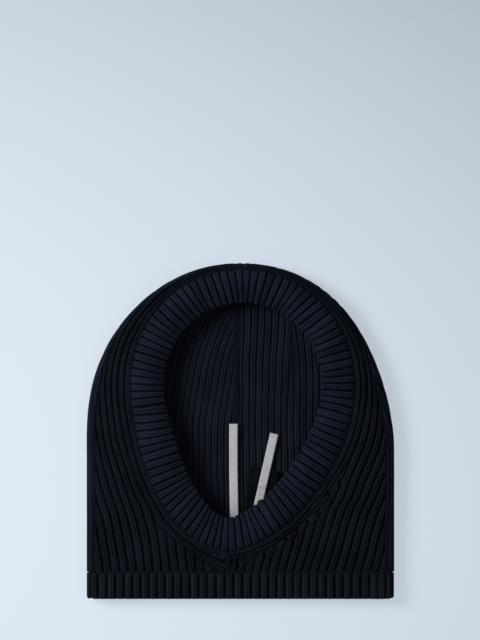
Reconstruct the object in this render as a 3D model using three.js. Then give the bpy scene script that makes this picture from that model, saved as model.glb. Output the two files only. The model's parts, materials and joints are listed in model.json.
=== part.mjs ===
// A rib-knitted balaclava, laid flat on its back with the face opening up.
// Millimetres. +X points right, +Y to the crown and +Z up, out of the face opening. The origin is
// at the middle of the footprint, on the surface it lies on.

import * as THREE from 'three';
import { mergeVertices } from 'three/addons/utils/BufferGeometryUtils.js';

// ---------------------------------------------------------------- driving dimensions

// Outline, laid flat
const HALF_WIDTH = 132.5; // half the width across the straight sides
const CROWN_RISE = 160; // height of the round crown above the straight sides
const CROWN_ROUND = 2.1; // superellipse exponent of the crown, 2 is a plain ellipse
const CROWN_LEAN = 2.6; // how far the crown's middle lies over to the left

// Face opening and its band
const CROWN_GAP = 6; // fabric showing between the face band and the crown's edge
const BAND_WIDTH = 28; // face band, from its outer edge to its lip
const OPEN_HALF_WIDTH = 68;
const OPEN_UP = 72; // opening above its widest line
const OPEN_DOWN = 113.2; // opening below its widest line
const OPEN_ROUND_UP = 2; // superellipse exponents, below 2 is more pointed
const OPEN_ROUND_DOWN = 1.55;
const BAND_ROUND_UP = 2.05;
const BAND_ROUND_DOWN = 1.8;
const CHIN_SHIFT = 10.5; // the chin hangs this far over to the left
const CHIN_DROP = 19.5; // fabric between the face band and the hem seam
const HEM_HEIGHT = 23.3;

// Fabric thicknesses
const PANEL_THICK = 3.5;
const HEM_THICK = 4;
const BAND_EDGE_THICK = 4.4;
const BAND_LIP_THICK = 7.2; // the band is folded double and rolls at its lip

// Heights of the upper layer's outer face over the surface it lies on
const HEM_LIFT = 15;
const SIDE_LIFT = 17;
const CROWN_LIFT = 20;
const EDGE_LIFT = 21; // where the panel meets the face band
const BAND_EDGE_MID = 19.5; // middle of the band's wall at its outer edge
const BAND_LIP_MID = 18.7; // middle of the band's wall at its lip
const BAND_BULGE = 4; // how far the band arches up between the two

// Folds at the sides and the crown, and the seam that runs along them
const FOLD_DEPTH_SIDE = 8.5; // plan depth of the fold, from the outline in
const SEAM_ANGLE_SIDE = 80; // degrees up the fold's arc, 90 is its top
const SEAM_ANGLE_CROWN = 5;
const HEM_JOIN_INSET = 14.5; // the hem band's own join, from its right edge

// Seam yarn
const YARN = 1.6; // diameter of the linking yarn
const TOUCH = 0.3; // gap that touching pieces keep
const YARN_SINK = 1; // depth of the yarn's centre under the outer face

// Woven tapes and the care label inside the back of the neck
const TAPE_WIDTH = 7.5;
const TAPE_THICK = 1;
const LONG_TAPE_X = -6.3; // centre line
const LONG_TAPE_REACH = 76; // free length past its hinge
const LONG_TAPE_LIP_CLEAR = 3.7; // its hinge, in from the lip
const SHORT_TAPE_NECK_X = 2.1; // its centre line where it is sewn down
const SHORT_TAPE_TILT = 12.8; // degrees, its free top leans to the right
const SHORT_TAPE_REACH = 54.5; // free length past its hinge, on its centre line
const LABEL_WIDTH = 27;
const LABEL_THICK = 0.6;
const LABEL_NECK_X = 11.5;
const LABEL_TILT = 6; // degrees
const LABEL_REACH = 23.5; // free length past its hinge, on its centre line
const LABEL_SHIFT = 1.3; // its centre line, right of the short tape's at the hinge
const TIP_HINGE_X = 18.5; // where the label's and short tape's hinge line crosses the short tape
const TIP_HINGE_TILT = 41.6; // degrees, the hinge line runs along the lip
const TIP_HINGE_CLEAR = 2.6; // in from the lip
const HINGE_SLOT = 1.4; // slot between a fixed end and its free part
const TIP_HINGE_STEP = 0.5; // the tape's hinge line, further in than the label's
const ROOT_CLEAR = 2.2; // fixed ends stop short of the hem seam
const STITCH = 0.5; // sewing thread that holds the fixed ends
const STITCH_INSET = 3;

// ---------------------------------------------------------------- derived places

const LENGTH = CROWN_GAP + BAND_WIDTH + OPEN_UP + OPEN_DOWN + BAND_WIDTH + CHIN_DROP + HEM_HEIGHT;
const TOP_Y = LENGTH / 2;
const BOTTOM_Y = -LENGTH / 2;
const SEAM_Y = BOTTOM_Y + HEM_HEIGHT;
const OPEN_Y = TOP_Y - CROWN_GAP - BAND_WIDTH - OPEN_UP; // the opening's widest line
const SHOULDER_Y = TOP_Y - CROWN_RISE;
const SLOT = YARN + 2 * TOUCH; // slot between two panels that the seam yarn fills
const FOLD_DEPTH_CROWN = CROWN_GAP - SLOT; // the crown's fold ends at the band's seam
const FOLD_SLOT = 1.15 * SLOT; // on a fold the slot narrows towards the inside
const CHIN_SLOT = 1.2 * SLOT; // the chin seam's two edges close up a little towards the band
const PANEL_Y = SEAM_Y + SLOT / 2; // the panels' lower edge
const TILT_TAPE = THREE.MathUtils.degToRad(SHORT_TAPE_TILT);
const TILT_LABEL = THREE.MathUtils.degToRad(LABEL_TILT);
const TILT_HINGE = THREE.MathUtils.degToRad(TIP_HINGE_TILT);

// Mesh fineness
const OUTLINE_STEPS = 60; // along the sides and crown, an even number
const CHIN_STEPS = 12; // along each half of the front's lower edge
const ARC_STEPS = 5;
const BAND_STEPS = 72;
const FOLD_ROWS = 4; // rows of the front panel on its fold
const SLOPE_ROWS = 4; // and from the fold to the band

const vec2 = (x, y) => new THREE.Vector2(x, y);
const vec3 = (x, y, z) => new THREE.Vector3(x, y, z);
const { lerp, smoothstep, clamp, degToRad } = THREE.MathUtils;

// ---------------------------------------------------------------- curves in plan

// Middle of the outline at a share of the crown's rise.
const crownCentre = (rise) => -CROWN_LEAN * Math.sin(Math.PI * rise) ** 1.5;

// Point on the outline: t runs from -1, the left hem corner, through 0, the crown, to 1.
function outlinePoint(t) {
  const straight = 0.4; // share of the path on the straight sides
  const along = 1 - Math.abs(t);
  let y;
  let half;
  if (along < straight) {
    y = lerp(PANEL_Y, SHOULDER_Y, along / straight);
    half = HALF_WIDTH;
  } else {
    const angle = ((along - straight) / (1 - straight)) * (Math.PI / 2);
    y = SHOULDER_Y + CROWN_RISE * Math.sin(angle) ** (2 / CROWN_ROUND);
    half = HALF_WIDTH * Math.max(Math.cos(angle), 0) ** (2 / CROWN_ROUND);
  }
  const rise = clamp((y - SHOULDER_Y) / CROWN_RISE, 0, 1);
  const centre = crownCentre(rise);
  return vec2(centre + Math.sign(t) * half, y);
}

// The outline as a list of { t, p, n }, with n pointing outwards.
function outlineStations() {
  const stations = [];
  for (let i = 0; i <= OUTLINE_STEPS; i += 1) {
    const t = (2 * i) / OUTLINE_STEPS - 1;
    const step = 0.004;
    const before = outlinePoint(Math.max(t - step, -1));
    const after = outlinePoint(Math.min(t + step, 1));
    const along = after.sub(before).normalize();
    stations.push({ t, p: outlinePoint(t), n: vec2(-along.y, along.x) });
  }
  return stations;
}

// How far a point in plan lies inside the outline, and the outline's direction there.
function insideOutline(x, y) {
  const rise = clamp((y - SHOULDER_Y) / CROWN_RISE, 0, 1);
  const centre = crownCentre(rise);
  const across = Math.abs(x - centre) / HALF_WIDTH;
  const size = (across ** CROWN_ROUND + rise ** CROWN_ROUND) ** (1 / CROWN_ROUND);
  const slopeX = (across / size) ** (CROWN_ROUND - 1) / HALF_WIDTH;
  const slopeY = (rise / size) ** (CROWN_ROUND - 1) / CROWN_RISE;
  const slope = Math.hypot(slopeX, slopeY);
  const outward = vec2((Math.sign(x - centre) * slopeX) / slope, slopeY / slope);
  return { depth: (1 - size) / slope, outward };
}

const insideDepth = (x, y) => insideOutline(x, y).depth;

// Egg-shaped loop: angle 0 is its top, 90 degrees its left, 180 degrees the chin.
function egg(angle, halfWidth, up, down, roundUp, roundDown) {
  const s = Math.sin(angle);
  const c = Math.cos(angle);
  const round = c >= 0 ? roundUp : roundDown;
  const reach = c >= 0 ? up : down;
  const x = -Math.sign(s) * halfWidth * Math.abs(s) ** (2 / round);
  const share = Math.abs(c) ** (2 / round);
  const drop = c < 0 ? share : 0;
  return vec2(x - CHIN_SHIFT * drop ** 2.5, OPEN_Y + Math.sign(c) * reach * share);
}

const lipPoint = (angle) =>
  egg(angle, OPEN_HALF_WIDTH, OPEN_UP, OPEN_DOWN, OPEN_ROUND_UP, OPEN_ROUND_DOWN);

const bandPoint = (angle) =>
  egg(
    angle,
    OPEN_HALF_WIDTH + BAND_WIDTH,
    OPEN_UP + BAND_WIDTH,
    OPEN_DOWN + BAND_WIDTH,
    BAND_ROUND_UP,
    BAND_ROUND_DOWN,
  );

// Unit vector square to the band's outer edge, pointing away from the opening.
function bandOutward(angle) {
  const step = 0.01;
  const along = bandPoint(angle + step).sub(bandPoint(angle - step)).normalize();
  return vec2(along.y, -along.x);
}

// The band angle whose outer edge lies on the line to a point from above the chin.
function bandAngleTowards(point) {
  const bearing = (p) => Math.atan2(-CHIN_SHIFT - p.x, p.y - OPEN_Y);
  const wanted = bearing(point);
  let low = -Math.PI;
  let high = Math.PI;
  for (let i = 0; i < 40; i += 1) {
    const middle = (low + high) / 2;
    let found = bearing(bandPoint(middle));
    if (middle > Math.PI / 2 && found < 0) found += 2 * Math.PI;
    if (middle < -Math.PI / 2 && found > 0) found -= 2 * Math.PI;
    if (found < wanted) low = middle;
    else high = middle;
  }
  return (low + high) / 2;
}

// ---------------------------------------------------------------- heights

const foldLift = (y) =>
  lerp(HEM_LIFT, SIDE_LIFT, smoothstep(y, SEAM_Y, SHOULDER_Y)) +
  (CROWN_LIFT - SIDE_LIFT) * smoothstep(y, OPEN_Y, TOP_Y);

const foldDepth = (y) =>
  lerp(FOLD_DEPTH_SIDE, FOLD_DEPTH_CROWN, smoothstep(y, OPEN_Y, TOP_Y - CROWN_GAP));

const seamAngle = (y) =>
  degToRad(lerp(SEAM_ANGLE_SIDE, SEAM_ANGLE_CROWN, smoothstep(y, OPEN_Y, TOP_Y - CROWN_GAP)));

// Half of the seam's slot as an angle on the fold's arc. It narrows inside the arc.
function slotAngle(y) {
  const angle = seamAngle(y);
  const across = foldDepth(y) * Math.sin(angle);
  const upwards = (foldLift(y) / 2) * Math.cos(angle);
  return (FOLD_SLOT / 2) / Math.hypot(across, upwards);
}

// Wall thickness across a fold, which has to leave room inside a tight one.
const foldWall = (y) => Math.min(PANEL_THICK, 0.6 * foldDepth(y));

// Outer face of the fold at an angle on its arc: -90 degrees is underneath, 90 its top.
function foldPoint(station, angle) {
  const inset = foldDepth(station.p.y) * (1 - Math.cos(angle));
  const half = foldLift(station.p.y) / 2;
  const p = station.p.clone().addScaledVector(station.n, -inset);
  return vec3(p.x, p.y, half * (1 + Math.sin(angle)));
}

// From the outer face to the inner face, at an angle on the fold's arc.
function wallStep(outward, y, angle) {
  const across = -foldWall(y) * Math.cos(angle);
  return vec3(outward.x * across, outward.y * across, -PANEL_THICK * Math.sin(angle));
}

// Angle on the fold's arc over a point in plan, 90 degrees from the fold's top inwards.
function arcAngle(x, y) {
  const depth = foldDepth(y);
  return Math.acos(1 - clamp(insideDepth(x, y), 0, depth) / depth);
}

// Height of the front panel's outer face over a point in plan, before it rises to the band.
const frontBase = (x, y) => (foldLift(y) / 2) * (1 + Math.sin(arcAngle(x, y)));

// ---------------------------------------------------------------- solids from grids

// Turns triangles round if they enclose a negative volume, and welds the corners.
function closedGeometry(corners) {
  let volume = 0;
  for (let i = 0; i < corners.length; i += 3) {
    volume += corners[i].dot(corners[i + 1].clone().cross(corners[i + 2]));
  }
  const positions = [];
  for (let i = 0; i < corners.length; i += 3) {
    const triangle = [corners[i], corners[i + 1], corners[i + 2]];
    if (volume < 0) triangle.reverse();
    triangle.forEach((p) => positions.push(p.x, p.y, p.z));
  }
  const geometry = new THREE.BufferGeometry();
  geometry.setAttribute('position', new THREE.Float32BufferAttribute(positions, 3));
  const welded = mergeVertices(geometry, 1e-4);
  welded.computeVertexNormals();
  return welded;
}

function addQuad(corners, a, b, c, d) {
  corners.push(a, b, c, a, c, d);
}

// A sheet between two grids of points. With gluedSpine the first column is one line of points
// met from both sides, so it needs no rim.
function sheetGeometry(outer, inner, gluedSpine = false) {
  const lastRow = outer.length - 1;
  const lastColumn = outer[0].length - 1;
  const corners = [];
  for (let i = 0; i < lastRow; i += 1) {
    for (let j = 0; j < lastColumn; j += 1) {
      addQuad(corners, outer[i][j], outer[i][j + 1], outer[i + 1][j + 1], outer[i + 1][j]);
      addQuad(corners, inner[i][j], inner[i + 1][j], inner[i + 1][j + 1], inner[i][j + 1]);
    }
    if (!gluedSpine) addQuad(corners, outer[i][0], outer[i + 1][0], inner[i + 1][0], inner[i][0]);
    const k = lastColumn;
    addQuad(corners, outer[i + 1][k], outer[i][k], inner[i][k], inner[i + 1][k]);
  }
  for (let j = 0; j < lastColumn; j += 1) {
    addQuad(corners, outer[0][j + 1], outer[0][j], inner[0][j], inner[0][j + 1]);
    const k = lastRow;
    addQuad(corners, outer[k][j], outer[k][j + 1], inner[k][j + 1], inner[k][j]);
  }
  return closedGeometry(corners);
}

// A solid bar through a row of closed sections, capped at both ends.
function sectionGeometry(sections) {
  const corners = [];
  const count = sections[0].length;
  for (let i = 0; i + 1 < sections.length; i += 1) {
    for (let j = 0; j < count; j += 1) {
      const k = (j + 1) % count;
      addQuad(corners, sections[i][j], sections[i][k], sections[i + 1][k], sections[i + 1][j]);
    }
  }
  const cap = (section, turned) => {
    const middle = vec3(0, 0, 0);
    section.forEach((p) => middle.add(p));
    middle.divideScalar(count);
    section.forEach((p, j) => {
      const next = section[(j + 1) % count];
      corners.push(middle, turned ? next : p, turned ? p : next);
    });
  };
  cap(sections[0], true);
  cap(sections[sections.length - 1], false);
  return closedGeometry(corners);
}

// Yarn along a list of points.
function yarnGeometry(points, diameter, steps) {
  const circle = new THREE.Shape();
  circle.absarc(0, 0, diameter / 2, 0, 2 * Math.PI);
  const path = new THREE.CatmullRomCurve3(points);
  const options = { steps, curveSegments: 4, bevelEnabled: false, extrudePath: path };
  return new THREE.ExtrudeGeometry(circle, options);
}

// ---------------------------------------------------------------- materials

const wool = (name, colour) =>
  new THREE.MeshStandardMaterial({ name, color: colour, roughness: 0.95, metalness: 0 });
const panelKnit = wool('panel_knit', 0x10141d);
const bandKnit = wool('band_knit', 0x141821);
const seamYarn = wool('seam_yarn', 0x0d1118);
const wovenTape = wool('woven_tape', 0xa6a9ad);
const labelSatin = new THREE.MeshStandardMaterial({
  name: 'label_satin',
  color: 0x111318,
  roughness: 0.35,
  metalness: 0,
});

// ---------------------------------------------------------------- knitted panels

// The back lies flat and turns up round the folds to the side and crown seam.
function backPanel(stations) {
  const spineTop = TOP_Y - 2 * BAND_WIDTH;
  const flatShares = [0, 0.35, 0.65, 0.88, 1];
  const down = -Math.PI / 2;
  const outer = [];
  const inner = [];
  stations.forEach((station) => {
    const { p, n, t } = station;
    const spine = vec3(0, lerp(spineTop, PANEL_Y, Math.abs(t)), 0);
    const foot = foldPoint(station, down);
    const outerRow = flatShares.map((share) => spine.clone().lerp(foot, share));
    const innerRow = outerRow.map((point) => point.clone().add(wallStep(n, p.y, down)));
    const last = seamAngle(p.y) - slotAngle(p.y);
    for (let k = 1; k <= ARC_STEPS; k += 1) {
      const angle = lerp(down, last, k / ARC_STEPS);
      const point = foldPoint(station, angle);
      outerRow.push(point);
      innerRow.push(point.clone().add(wallStep(n, p.y, angle)));
    }
    outer.push(outerRow);
    inner.push(innerRow);
  });
  return sheetGeometry(outer, inner, true);
}

// Shares of a row's length, closer together where the row crosses the fold.
function rowShares(edge, end) {
  const depth = foldDepth(edge.y);
  const startInset = insideDepth(edge.x, edge.y);
  const endInset = Math.max(insideDepth(end.x, end.y), depth + TOUCH);
  const startAngle = arcAngle(edge.x, edge.y);
  const foldEnd = clamp((depth - startInset) / (endInset - startInset), 0, 1);
  const steps = FOLD_ROWS + SLOPE_ROWS;
  const onFold = clamp((Math.PI / 2 - startAngle) / 0.5, 0, 1);
  const shares = [];
  for (let j = 0; j <= steps; j += 1) {
    const angle = lerp(startAngle, Math.PI / 2, Math.min(j / FOLD_ROWS, 1));
    const turned = 1 - Math.cos(angle) / Math.max(Math.cos(startAngle), 1e-6);
    const slope = Math.max(j - FOLD_ROWS, 0) / SLOPE_ROWS;
    const share = j < FOLD_ROWS ? foldEnd * turned : lerp(foldEnd, 1, slope);
    shares.push(lerp(j / steps, share, onFold));
  }
  return shares;
}

// One row of the front panel, from its outer edge to the face band.
function frontRow(edge) {
  const angle = bandAngleTowards(edge);
  const end = bandPoint(angle).addScaledVector(bandOutward(angle), SLOT);
  return rowShares(edge, end).map((share) => {
    const p = edge.clone().lerp(end, share);
    const lift = (EDGE_LIFT - foldLift(p.y)) * Math.sin((share * Math.PI) / 2);
    return vec3(p.x, p.y, frontBase(p.x, p.y) + lift);
  });
}

// The front is one horseshoe round the face band, open at the chin seam.
function frontPanel(stations) {
  const chinX = bandPoint(Math.PI).x;
  const inset = (station) => {
    const y = station.p.y;
    return foldDepth(y) * (1 - Math.cos(seamAngle(y) + slotAngle(y)));
  };
  const edges = [];
  const first = stations[0];
  const last = stations[stations.length - 1];
  for (let k = 0; k < CHIN_STEPS; k += 1) {
    const share = k / CHIN_STEPS;
    edges.push(vec2(lerp(chinX - CHIN_SLOT / 2, first.p.x + inset(first), share), PANEL_Y));
  }
  stations.forEach((s) => edges.push(s.p.clone().addScaledVector(s.n, -inset(s))));
  for (let k = 1; k <= CHIN_STEPS; k += 1) {
    const share = k / CHIN_STEPS;
    edges.push(vec2(lerp(last.p.x - inset(last), chinX + CHIN_SLOT / 2, share), PANEL_Y));
  }
  const outer = edges.map(frontRow);
  const inner = outer.map((row) =>
    row.map((point) => {
      const { outward } = insideOutline(point.x, point.y);
      return point.clone().add(wallStep(outward, point.y, arcAngle(point.x, point.y)));
    }),
  );
  return sheetGeometry(outer, inner);
}

// Section of the face band: arched wall, thin at the outer edge, rolled at the lip.
function bandSection(angle) {
  const outer = bandPoint(angle);
  const lip = lipPoint(angle);
  const width = outer.distanceTo(lip);
  const lipHalf = BAND_LIP_THICK / 2;
  const wallShares = [0, 0.2, 0.45, 0.7, 0.9];
  const at = (distance, z) => {
    const p = outer.clone().lerp(lip, distance / width);
    return vec3(p.x, p.y, z);
  };
  const wall = (share, side) => {
    const middle =
      lerp(BAND_EDGE_MID, BAND_LIP_MID, share) + BAND_BULGE * 4 * share * (1 - share);
    const half = lerp(BAND_EDGE_THICK, BAND_LIP_THICK, Math.min(share * 1.6, 1)) / 2;
    return at(share * (width - lipHalf), middle + side * half);
  };
  const top = wallShares.map((share) => wall(share, 1));
  const roll = [90, 45, 0, -45, -90].map((degrees) => {
    const turn = degToRad(degrees);
    const reach = width - lipHalf + lipHalf * Math.cos(turn);
    return at(reach, BAND_LIP_MID + lipHalf * Math.sin(turn));
  });
  const bottom = wallShares.toReversed().map((share) => wall(share, -1));
  return [...top, ...roll, ...bottom];
}

// The band's two ends meet at the chin, with the join's slot between them.
function faceBand() {
  const sections = [];
  for (let i = 1; i < BAND_STEPS; i += 1) {
    sections.push(bandSection(lerp(-Math.PI, Math.PI, i / BAND_STEPS)));
  }
  const end = (side) => bandSection(Math.PI).map((p) => p.add(vec3((side * SLOT) / 2, 0, 0)));
  return sectionGeometry([end(1), ...sections, end(-1)]);
}

// Outline of the flattened hem tube, between its join's two ends.
function hemBand() {
  const joinX = HALF_WIDTH - HEM_JOIN_INSET;
  const path = (shape, radius, inset, clockwise, start) => {
    const reach = HALF_WIDTH - radius - inset;
    const middle = HEM_LIFT / 2;
    if (start) shape.moveTo(joinX + SLOT / 2, middle + radius);
    else shape.lineTo(joinX - SLOT / 2, middle + radius);
    if (clockwise) {
      shape.absarc(reach, middle, radius, Math.PI / 2, -Math.PI / 2, true);
      shape.absarc(-reach, middle, radius, -Math.PI / 2, -1.5 * Math.PI, true);
      shape.lineTo(joinX - SLOT / 2, middle + radius);
    } else {
      shape.absarc(-reach, middle, radius, Math.PI / 2, 1.5 * Math.PI, false);
      shape.absarc(reach, middle, radius, -Math.PI / 2, Math.PI / 2, false);
      shape.lineTo(joinX + SLOT / 2, middle + radius);
    }
  };
  const shape = new THREE.Shape();
  path(shape, HEM_LIFT / 2, 0, true, true);
  path(shape, HEM_LIFT / 2 - HEM_THICK, HEM_THICK, false, false);
  const depth = HEM_HEIGHT - SLOT / 2;
  const options = { depth, curveSegments: 10, bevelEnabled: false };
  return new THREE.ExtrudeGeometry(shape, options);
}

// ---------------------------------------------------------------- seams

function sideAndCrownSeam(stations) {
  const points = stations.map((station) => {
    const y = Math.max(station.p.y, PANEL_Y + TOUCH);
    const angle = seamAngle(y);
    const outer = foldPoint(station, angle);
    const middle = station.p.clone().addScaledVector(station.n, -foldDepth(y));
    const inward = vec3(middle.x, middle.y, foldLift(y) / 2).sub(outer).normalize();
    return outer.addScaledVector(inward, YARN_SINK);
  });
  return yarnGeometry(points, YARN, 76);
}

function faceBandSeam() {
  const points = [];
  const steps = 72;
  const slot = SLOT / OPEN_HALF_WIDTH;
  for (let i = 0; i <= steps; i += 1) {
    const angle = lerp(-Math.PI + slot, Math.PI - slot, i / steps);
    const p = bandPoint(angle).addScaledVector(bandOutward(angle), SLOT / 2);
    points.push(vec3(p.x, p.y, EDGE_LIFT - YARN_SINK));
  }
  return yarnGeometry(points, YARN, 76);
}

function faceBandJoin() {
  const outer = bandPoint(Math.PI);
  const lip = lipPoint(Math.PI);
  const points = [0.06, 0.3, 0.55, 0.8].map((share) => {
    const rise = BAND_BULGE * 4 * share * (1 - share);
    const half = lerp(BAND_EDGE_THICK, BAND_LIP_THICK, Math.min(share * 1.6, 1)) / 2;
    const z = lerp(BAND_EDGE_MID, BAND_LIP_MID, share) + rise + half - YARN_SINK;
    return vec3(lerp(outer.x, lip.x, share), lerp(outer.y, lip.y, share), z);
  });
  return yarnGeometry(points, YARN, 12);
}

function chinSeam() {
  const x = bandPoint(Math.PI).x;
  const top = bandPoint(Math.PI).y - 2 * SLOT;
  const angle = bandAngleTowards(vec2(x, PANEL_Y));
  const topX = bandPoint(angle).x;
  const points = [0, 0.35, 0.7, 1].map((share) => {
    const rise = (EDGE_LIFT - HEM_LIFT) * Math.sin((share * Math.PI) / 2);
    const z = HEM_LIFT + rise - YARN_SINK;
    return vec3(lerp(x, topX, share), lerp(PANEL_Y + TOUCH, top, share), z);
  });
  return yarnGeometry(points, YARN, 10);
}

function hemSeam() {
  const radius = HEM_LIFT / 2 - PANEL_THICK / 2;
  const reach = HALF_WIDTH - HEM_LIFT / 2;
  const joinX = HALF_WIDTH - HEM_JOIN_INSET;
  const middle = HEM_LIFT / 2;
  const points = [vec3(joinX + SLOT / 2, SEAM_Y, middle + radius)];
  const addTurn = (x, from, to) => {
    for (let k = 0; k <= 4; k += 1) {
      const turn = lerp(from, to, k / 4);
      const z = middle + radius * Math.sin(turn);
      points.push(vec3(x + radius * Math.cos(turn), SEAM_Y, z));
    }
  };
  const addRun = (from, to, z) => {
    for (let k = 1; k < 6; k += 1) points.push(vec3(lerp(from, to, k / 6), SEAM_Y, z));
  };
  addTurn(reach, Math.PI / 2, -Math.PI / 2);
  addRun(reach, -reach, middle - radius);
  addTurn(-reach, -Math.PI / 2, -1.5 * Math.PI);
  addRun(-reach, joinX - SLOT / 2, middle + radius);
  points.push(vec3(joinX - SLOT / 2, SEAM_Y, middle + radius));
  return yarnGeometry(points, YARN, 96);
}

function hemJoin() {
  const x = HALF_WIDTH - HEM_JOIN_INSET;
  const z = HEM_LIFT - YARN_SINK;
  const high = SEAM_Y - SLOT / 2 - TOUCH;
  const low = BOTTOM_Y + TOUCH;
  const points = [high, (high + low) / 2, low].map((y) => vec3(x, y, z));
  return yarnGeometry(points, YARN, 4);
}

// ---------------------------------------------------------------- tapes and label

// A strip in plan: its centre line passes through foot and leans by tilt.
function stripAxes(foot, tilt) {
  const up = vec2(Math.sin(tilt), Math.cos(tilt));
  const right = vec2(Math.cos(tilt), -Math.sin(tilt));
  return { foot, up, right };
}

// Where a strip's edge, at a side offset from its centre line, meets a line in plan.
function crossing(strip, side, linePoint, lineTilt) {
  const start = strip.foot.clone().addScaledVector(strip.right, side);
  const normal = vec2(-Math.sin(lineTilt), Math.cos(lineTilt));
  const gap = linePoint.clone().sub(start).dot(normal) / strip.up.dot(normal);
  return start.addScaledVector(strip.up, gap);
}

// A flat strip between two lines in plan, lying at a height.
function stripGeometry(strip, width, low, high, thick) {
  const side = width / 2;
  const shape = new THREE.Shape([
    crossing(strip, -side, low.point, low.tilt),
    crossing(strip, side, low.point, low.tilt),
    crossing(strip, side, high.point, high.tilt),
    crossing(strip, -side, high.point, high.tilt),
  ]);
  return new THREE.ExtrudeGeometry(shape, { depth: thick, bevelEnabled: false });
}

const lineInward = (line, distance) => ({
  tilt: line.tilt,
  point: vec2(
    line.point.x - Math.sin(line.tilt) * distance,
    line.point.y + Math.cos(line.tilt) * distance,
  ),
});

// The lip's height in plan at a given x, on the lower side of the opening.
function lipY(x) {
  let low = Math.PI / 2;
  let high = 1.5 * Math.PI;
  for (let i = 0; i < 40; i += 1) {
    const middle = (low + high) / 2;
    if (lipPoint(middle).x < x) low = middle;
    else high = middle;
  }
  return lipPoint(low).y;
}

const rootLine = { point: vec2(0, PANEL_Y + ROOT_CLEAR), tilt: 0 };
const tipLip = vec2(TIP_HINGE_X, lipY(TIP_HINGE_X));
const labelHinge = lineInward({ point: tipLip, tilt: TILT_HINGE }, TIP_HINGE_CLEAR);
const shortHinge = lineInward(labelHinge, TIP_HINGE_STEP);
const longHinge = { point: vec2(LONG_TAPE_X, lipY(LONG_TAPE_X) + LONG_TAPE_LIP_CLEAR), tilt: 0 };

const longStrip = stripAxes(longHinge.point, 0);
const shortStrip = stripAxes(shortHinge.point, TILT_TAPE);
const labelFoot = vec2(labelHinge.point.x + LABEL_SHIFT, labelHinge.point.y);
const labelStrip = stripAxes(labelFoot, TILT_LABEL);

// A fixed end runs from its place in the neck seam to the foot of its free end.
function rootStrip(foot, neckX) {
  return stripAxes(foot, Math.atan2(foot.x - neckX, foot.y - rootLine.point.y));
}

const shortRoot = rootStrip(shortHinge.point, SHORT_TAPE_NECK_X);
const labelRoot = rootStrip(labelFoot, LABEL_NECK_X);

const endLine = (strip, reach, tilt) => ({
  point: strip.foot.clone().addScaledVector(strip.up, reach),
  tilt: -tilt,
});

const longEnd = endLine(longStrip, LONG_TAPE_REACH, 0);
const shortEnd = endLine(shortStrip, SHORT_TAPE_REACH, TILT_TAPE);
const labelEnd = endLine(labelStrip, LABEL_REACH, TILT_LABEL);

const BACK_FACE = PANEL_THICK + TOUCH;
const LABEL_Z = BACK_FACE;
const LONG_TAPE_Z = BACK_FACE;
const SHORT_TAPE_Z = LABEL_Z + LABEL_THICK + TOUCH;

function fixedEnd(strip, width, hinge, thick) {
  return stripGeometry(strip, width, rootLine, lineInward(hinge, -HINGE_SLOT / 2), thick);
}

function freeEnd(strip, width, hinge, end, thick) {
  return stripGeometry(strip, width, lineInward(hinge, HINGE_SLOT / 2), end, thick);
}

function labelStitching() {
  const y = rootLine.point.y + STITCH_INSET;
  const left = LONG_TAPE_X - TAPE_WIDTH / 2;
  const right = crossing(labelRoot, LABEL_WIDTH / 2, rootLine.point, 0).x;
  const z = SHORT_TAPE_Z + TAPE_THICK + TOUCH + STITCH / 2;
  const xs = [left, (left + right) / 2, right];
  return yarnGeometry(xs.map((x) => vec3(x, y, z)), STITCH, 4);
}

// ---------------------------------------------------------------- assembly

const balaclava = new THREE.Group();

function place(name, geometry, material, z = 0) {
  const mesh = new THREE.Mesh(geometry, material);
  mesh.name = name;
  mesh.position.z = z;
  balaclava.add(mesh);
  return mesh;
}

const stations = outlineStations();
place('back_panel', backPanel(stations), panelKnit);
place('front_panel', frontPanel(stations), panelKnit);
place('face_band', faceBand(), bandKnit);
const hem = place('hem_band', hemBand(), bandKnit);
hem.rotation.x = Math.PI / 2;
hem.position.y = SEAM_Y - SLOT / 2;

place('side_and_crown_seam', sideAndCrownSeam(stations), seamYarn);
place('face_band_seam', faceBandSeam(), seamYarn);
place('face_band_join', faceBandJoin(), seamYarn);
place('chin_seam', chinSeam(), seamYarn);
place('hem_seam', hemSeam(), seamYarn);
place('hem_band_join', hemJoin(), seamYarn);

const tape = (make, strip, hinge, ...rest) =>
  make(strip, TAPE_WIDTH, hinge, ...rest, TAPE_THICK);
place('long_tape_root', tape(fixedEnd, longStrip, longHinge), wovenTape, LONG_TAPE_Z);
place('long_tape_end', tape(freeEnd, longStrip, longHinge, longEnd), wovenTape, LONG_TAPE_Z);
place('short_tape_root', tape(fixedEnd, shortRoot, shortHinge), wovenTape, SHORT_TAPE_Z);
place('short_tape_end', tape(freeEnd, shortStrip, shortHinge, shortEnd), wovenTape, SHORT_TAPE_Z);

const label = (make, strip, ...rest) =>
  make(strip, LABEL_WIDTH, labelHinge, ...rest, LABEL_THICK);
place('care_label_root', label(fixedEnd, labelRoot), labelSatin, LABEL_Z);
place('care_label_end', label(freeEnd, labelStrip, labelEnd), labelSatin, LABEL_Z);
place('label_stitching', labelStitching(), seamYarn);

export default balaclava;
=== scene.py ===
"""A rib-knitted balaclava laid flat, with the woven tapes and the care label in its neck.

Run as a script, it registers its operators, builds every piece and sets the stage.
Lengths inside the shape functions are millimetres; meshes are written in metres.
"""

import json
import math

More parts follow.
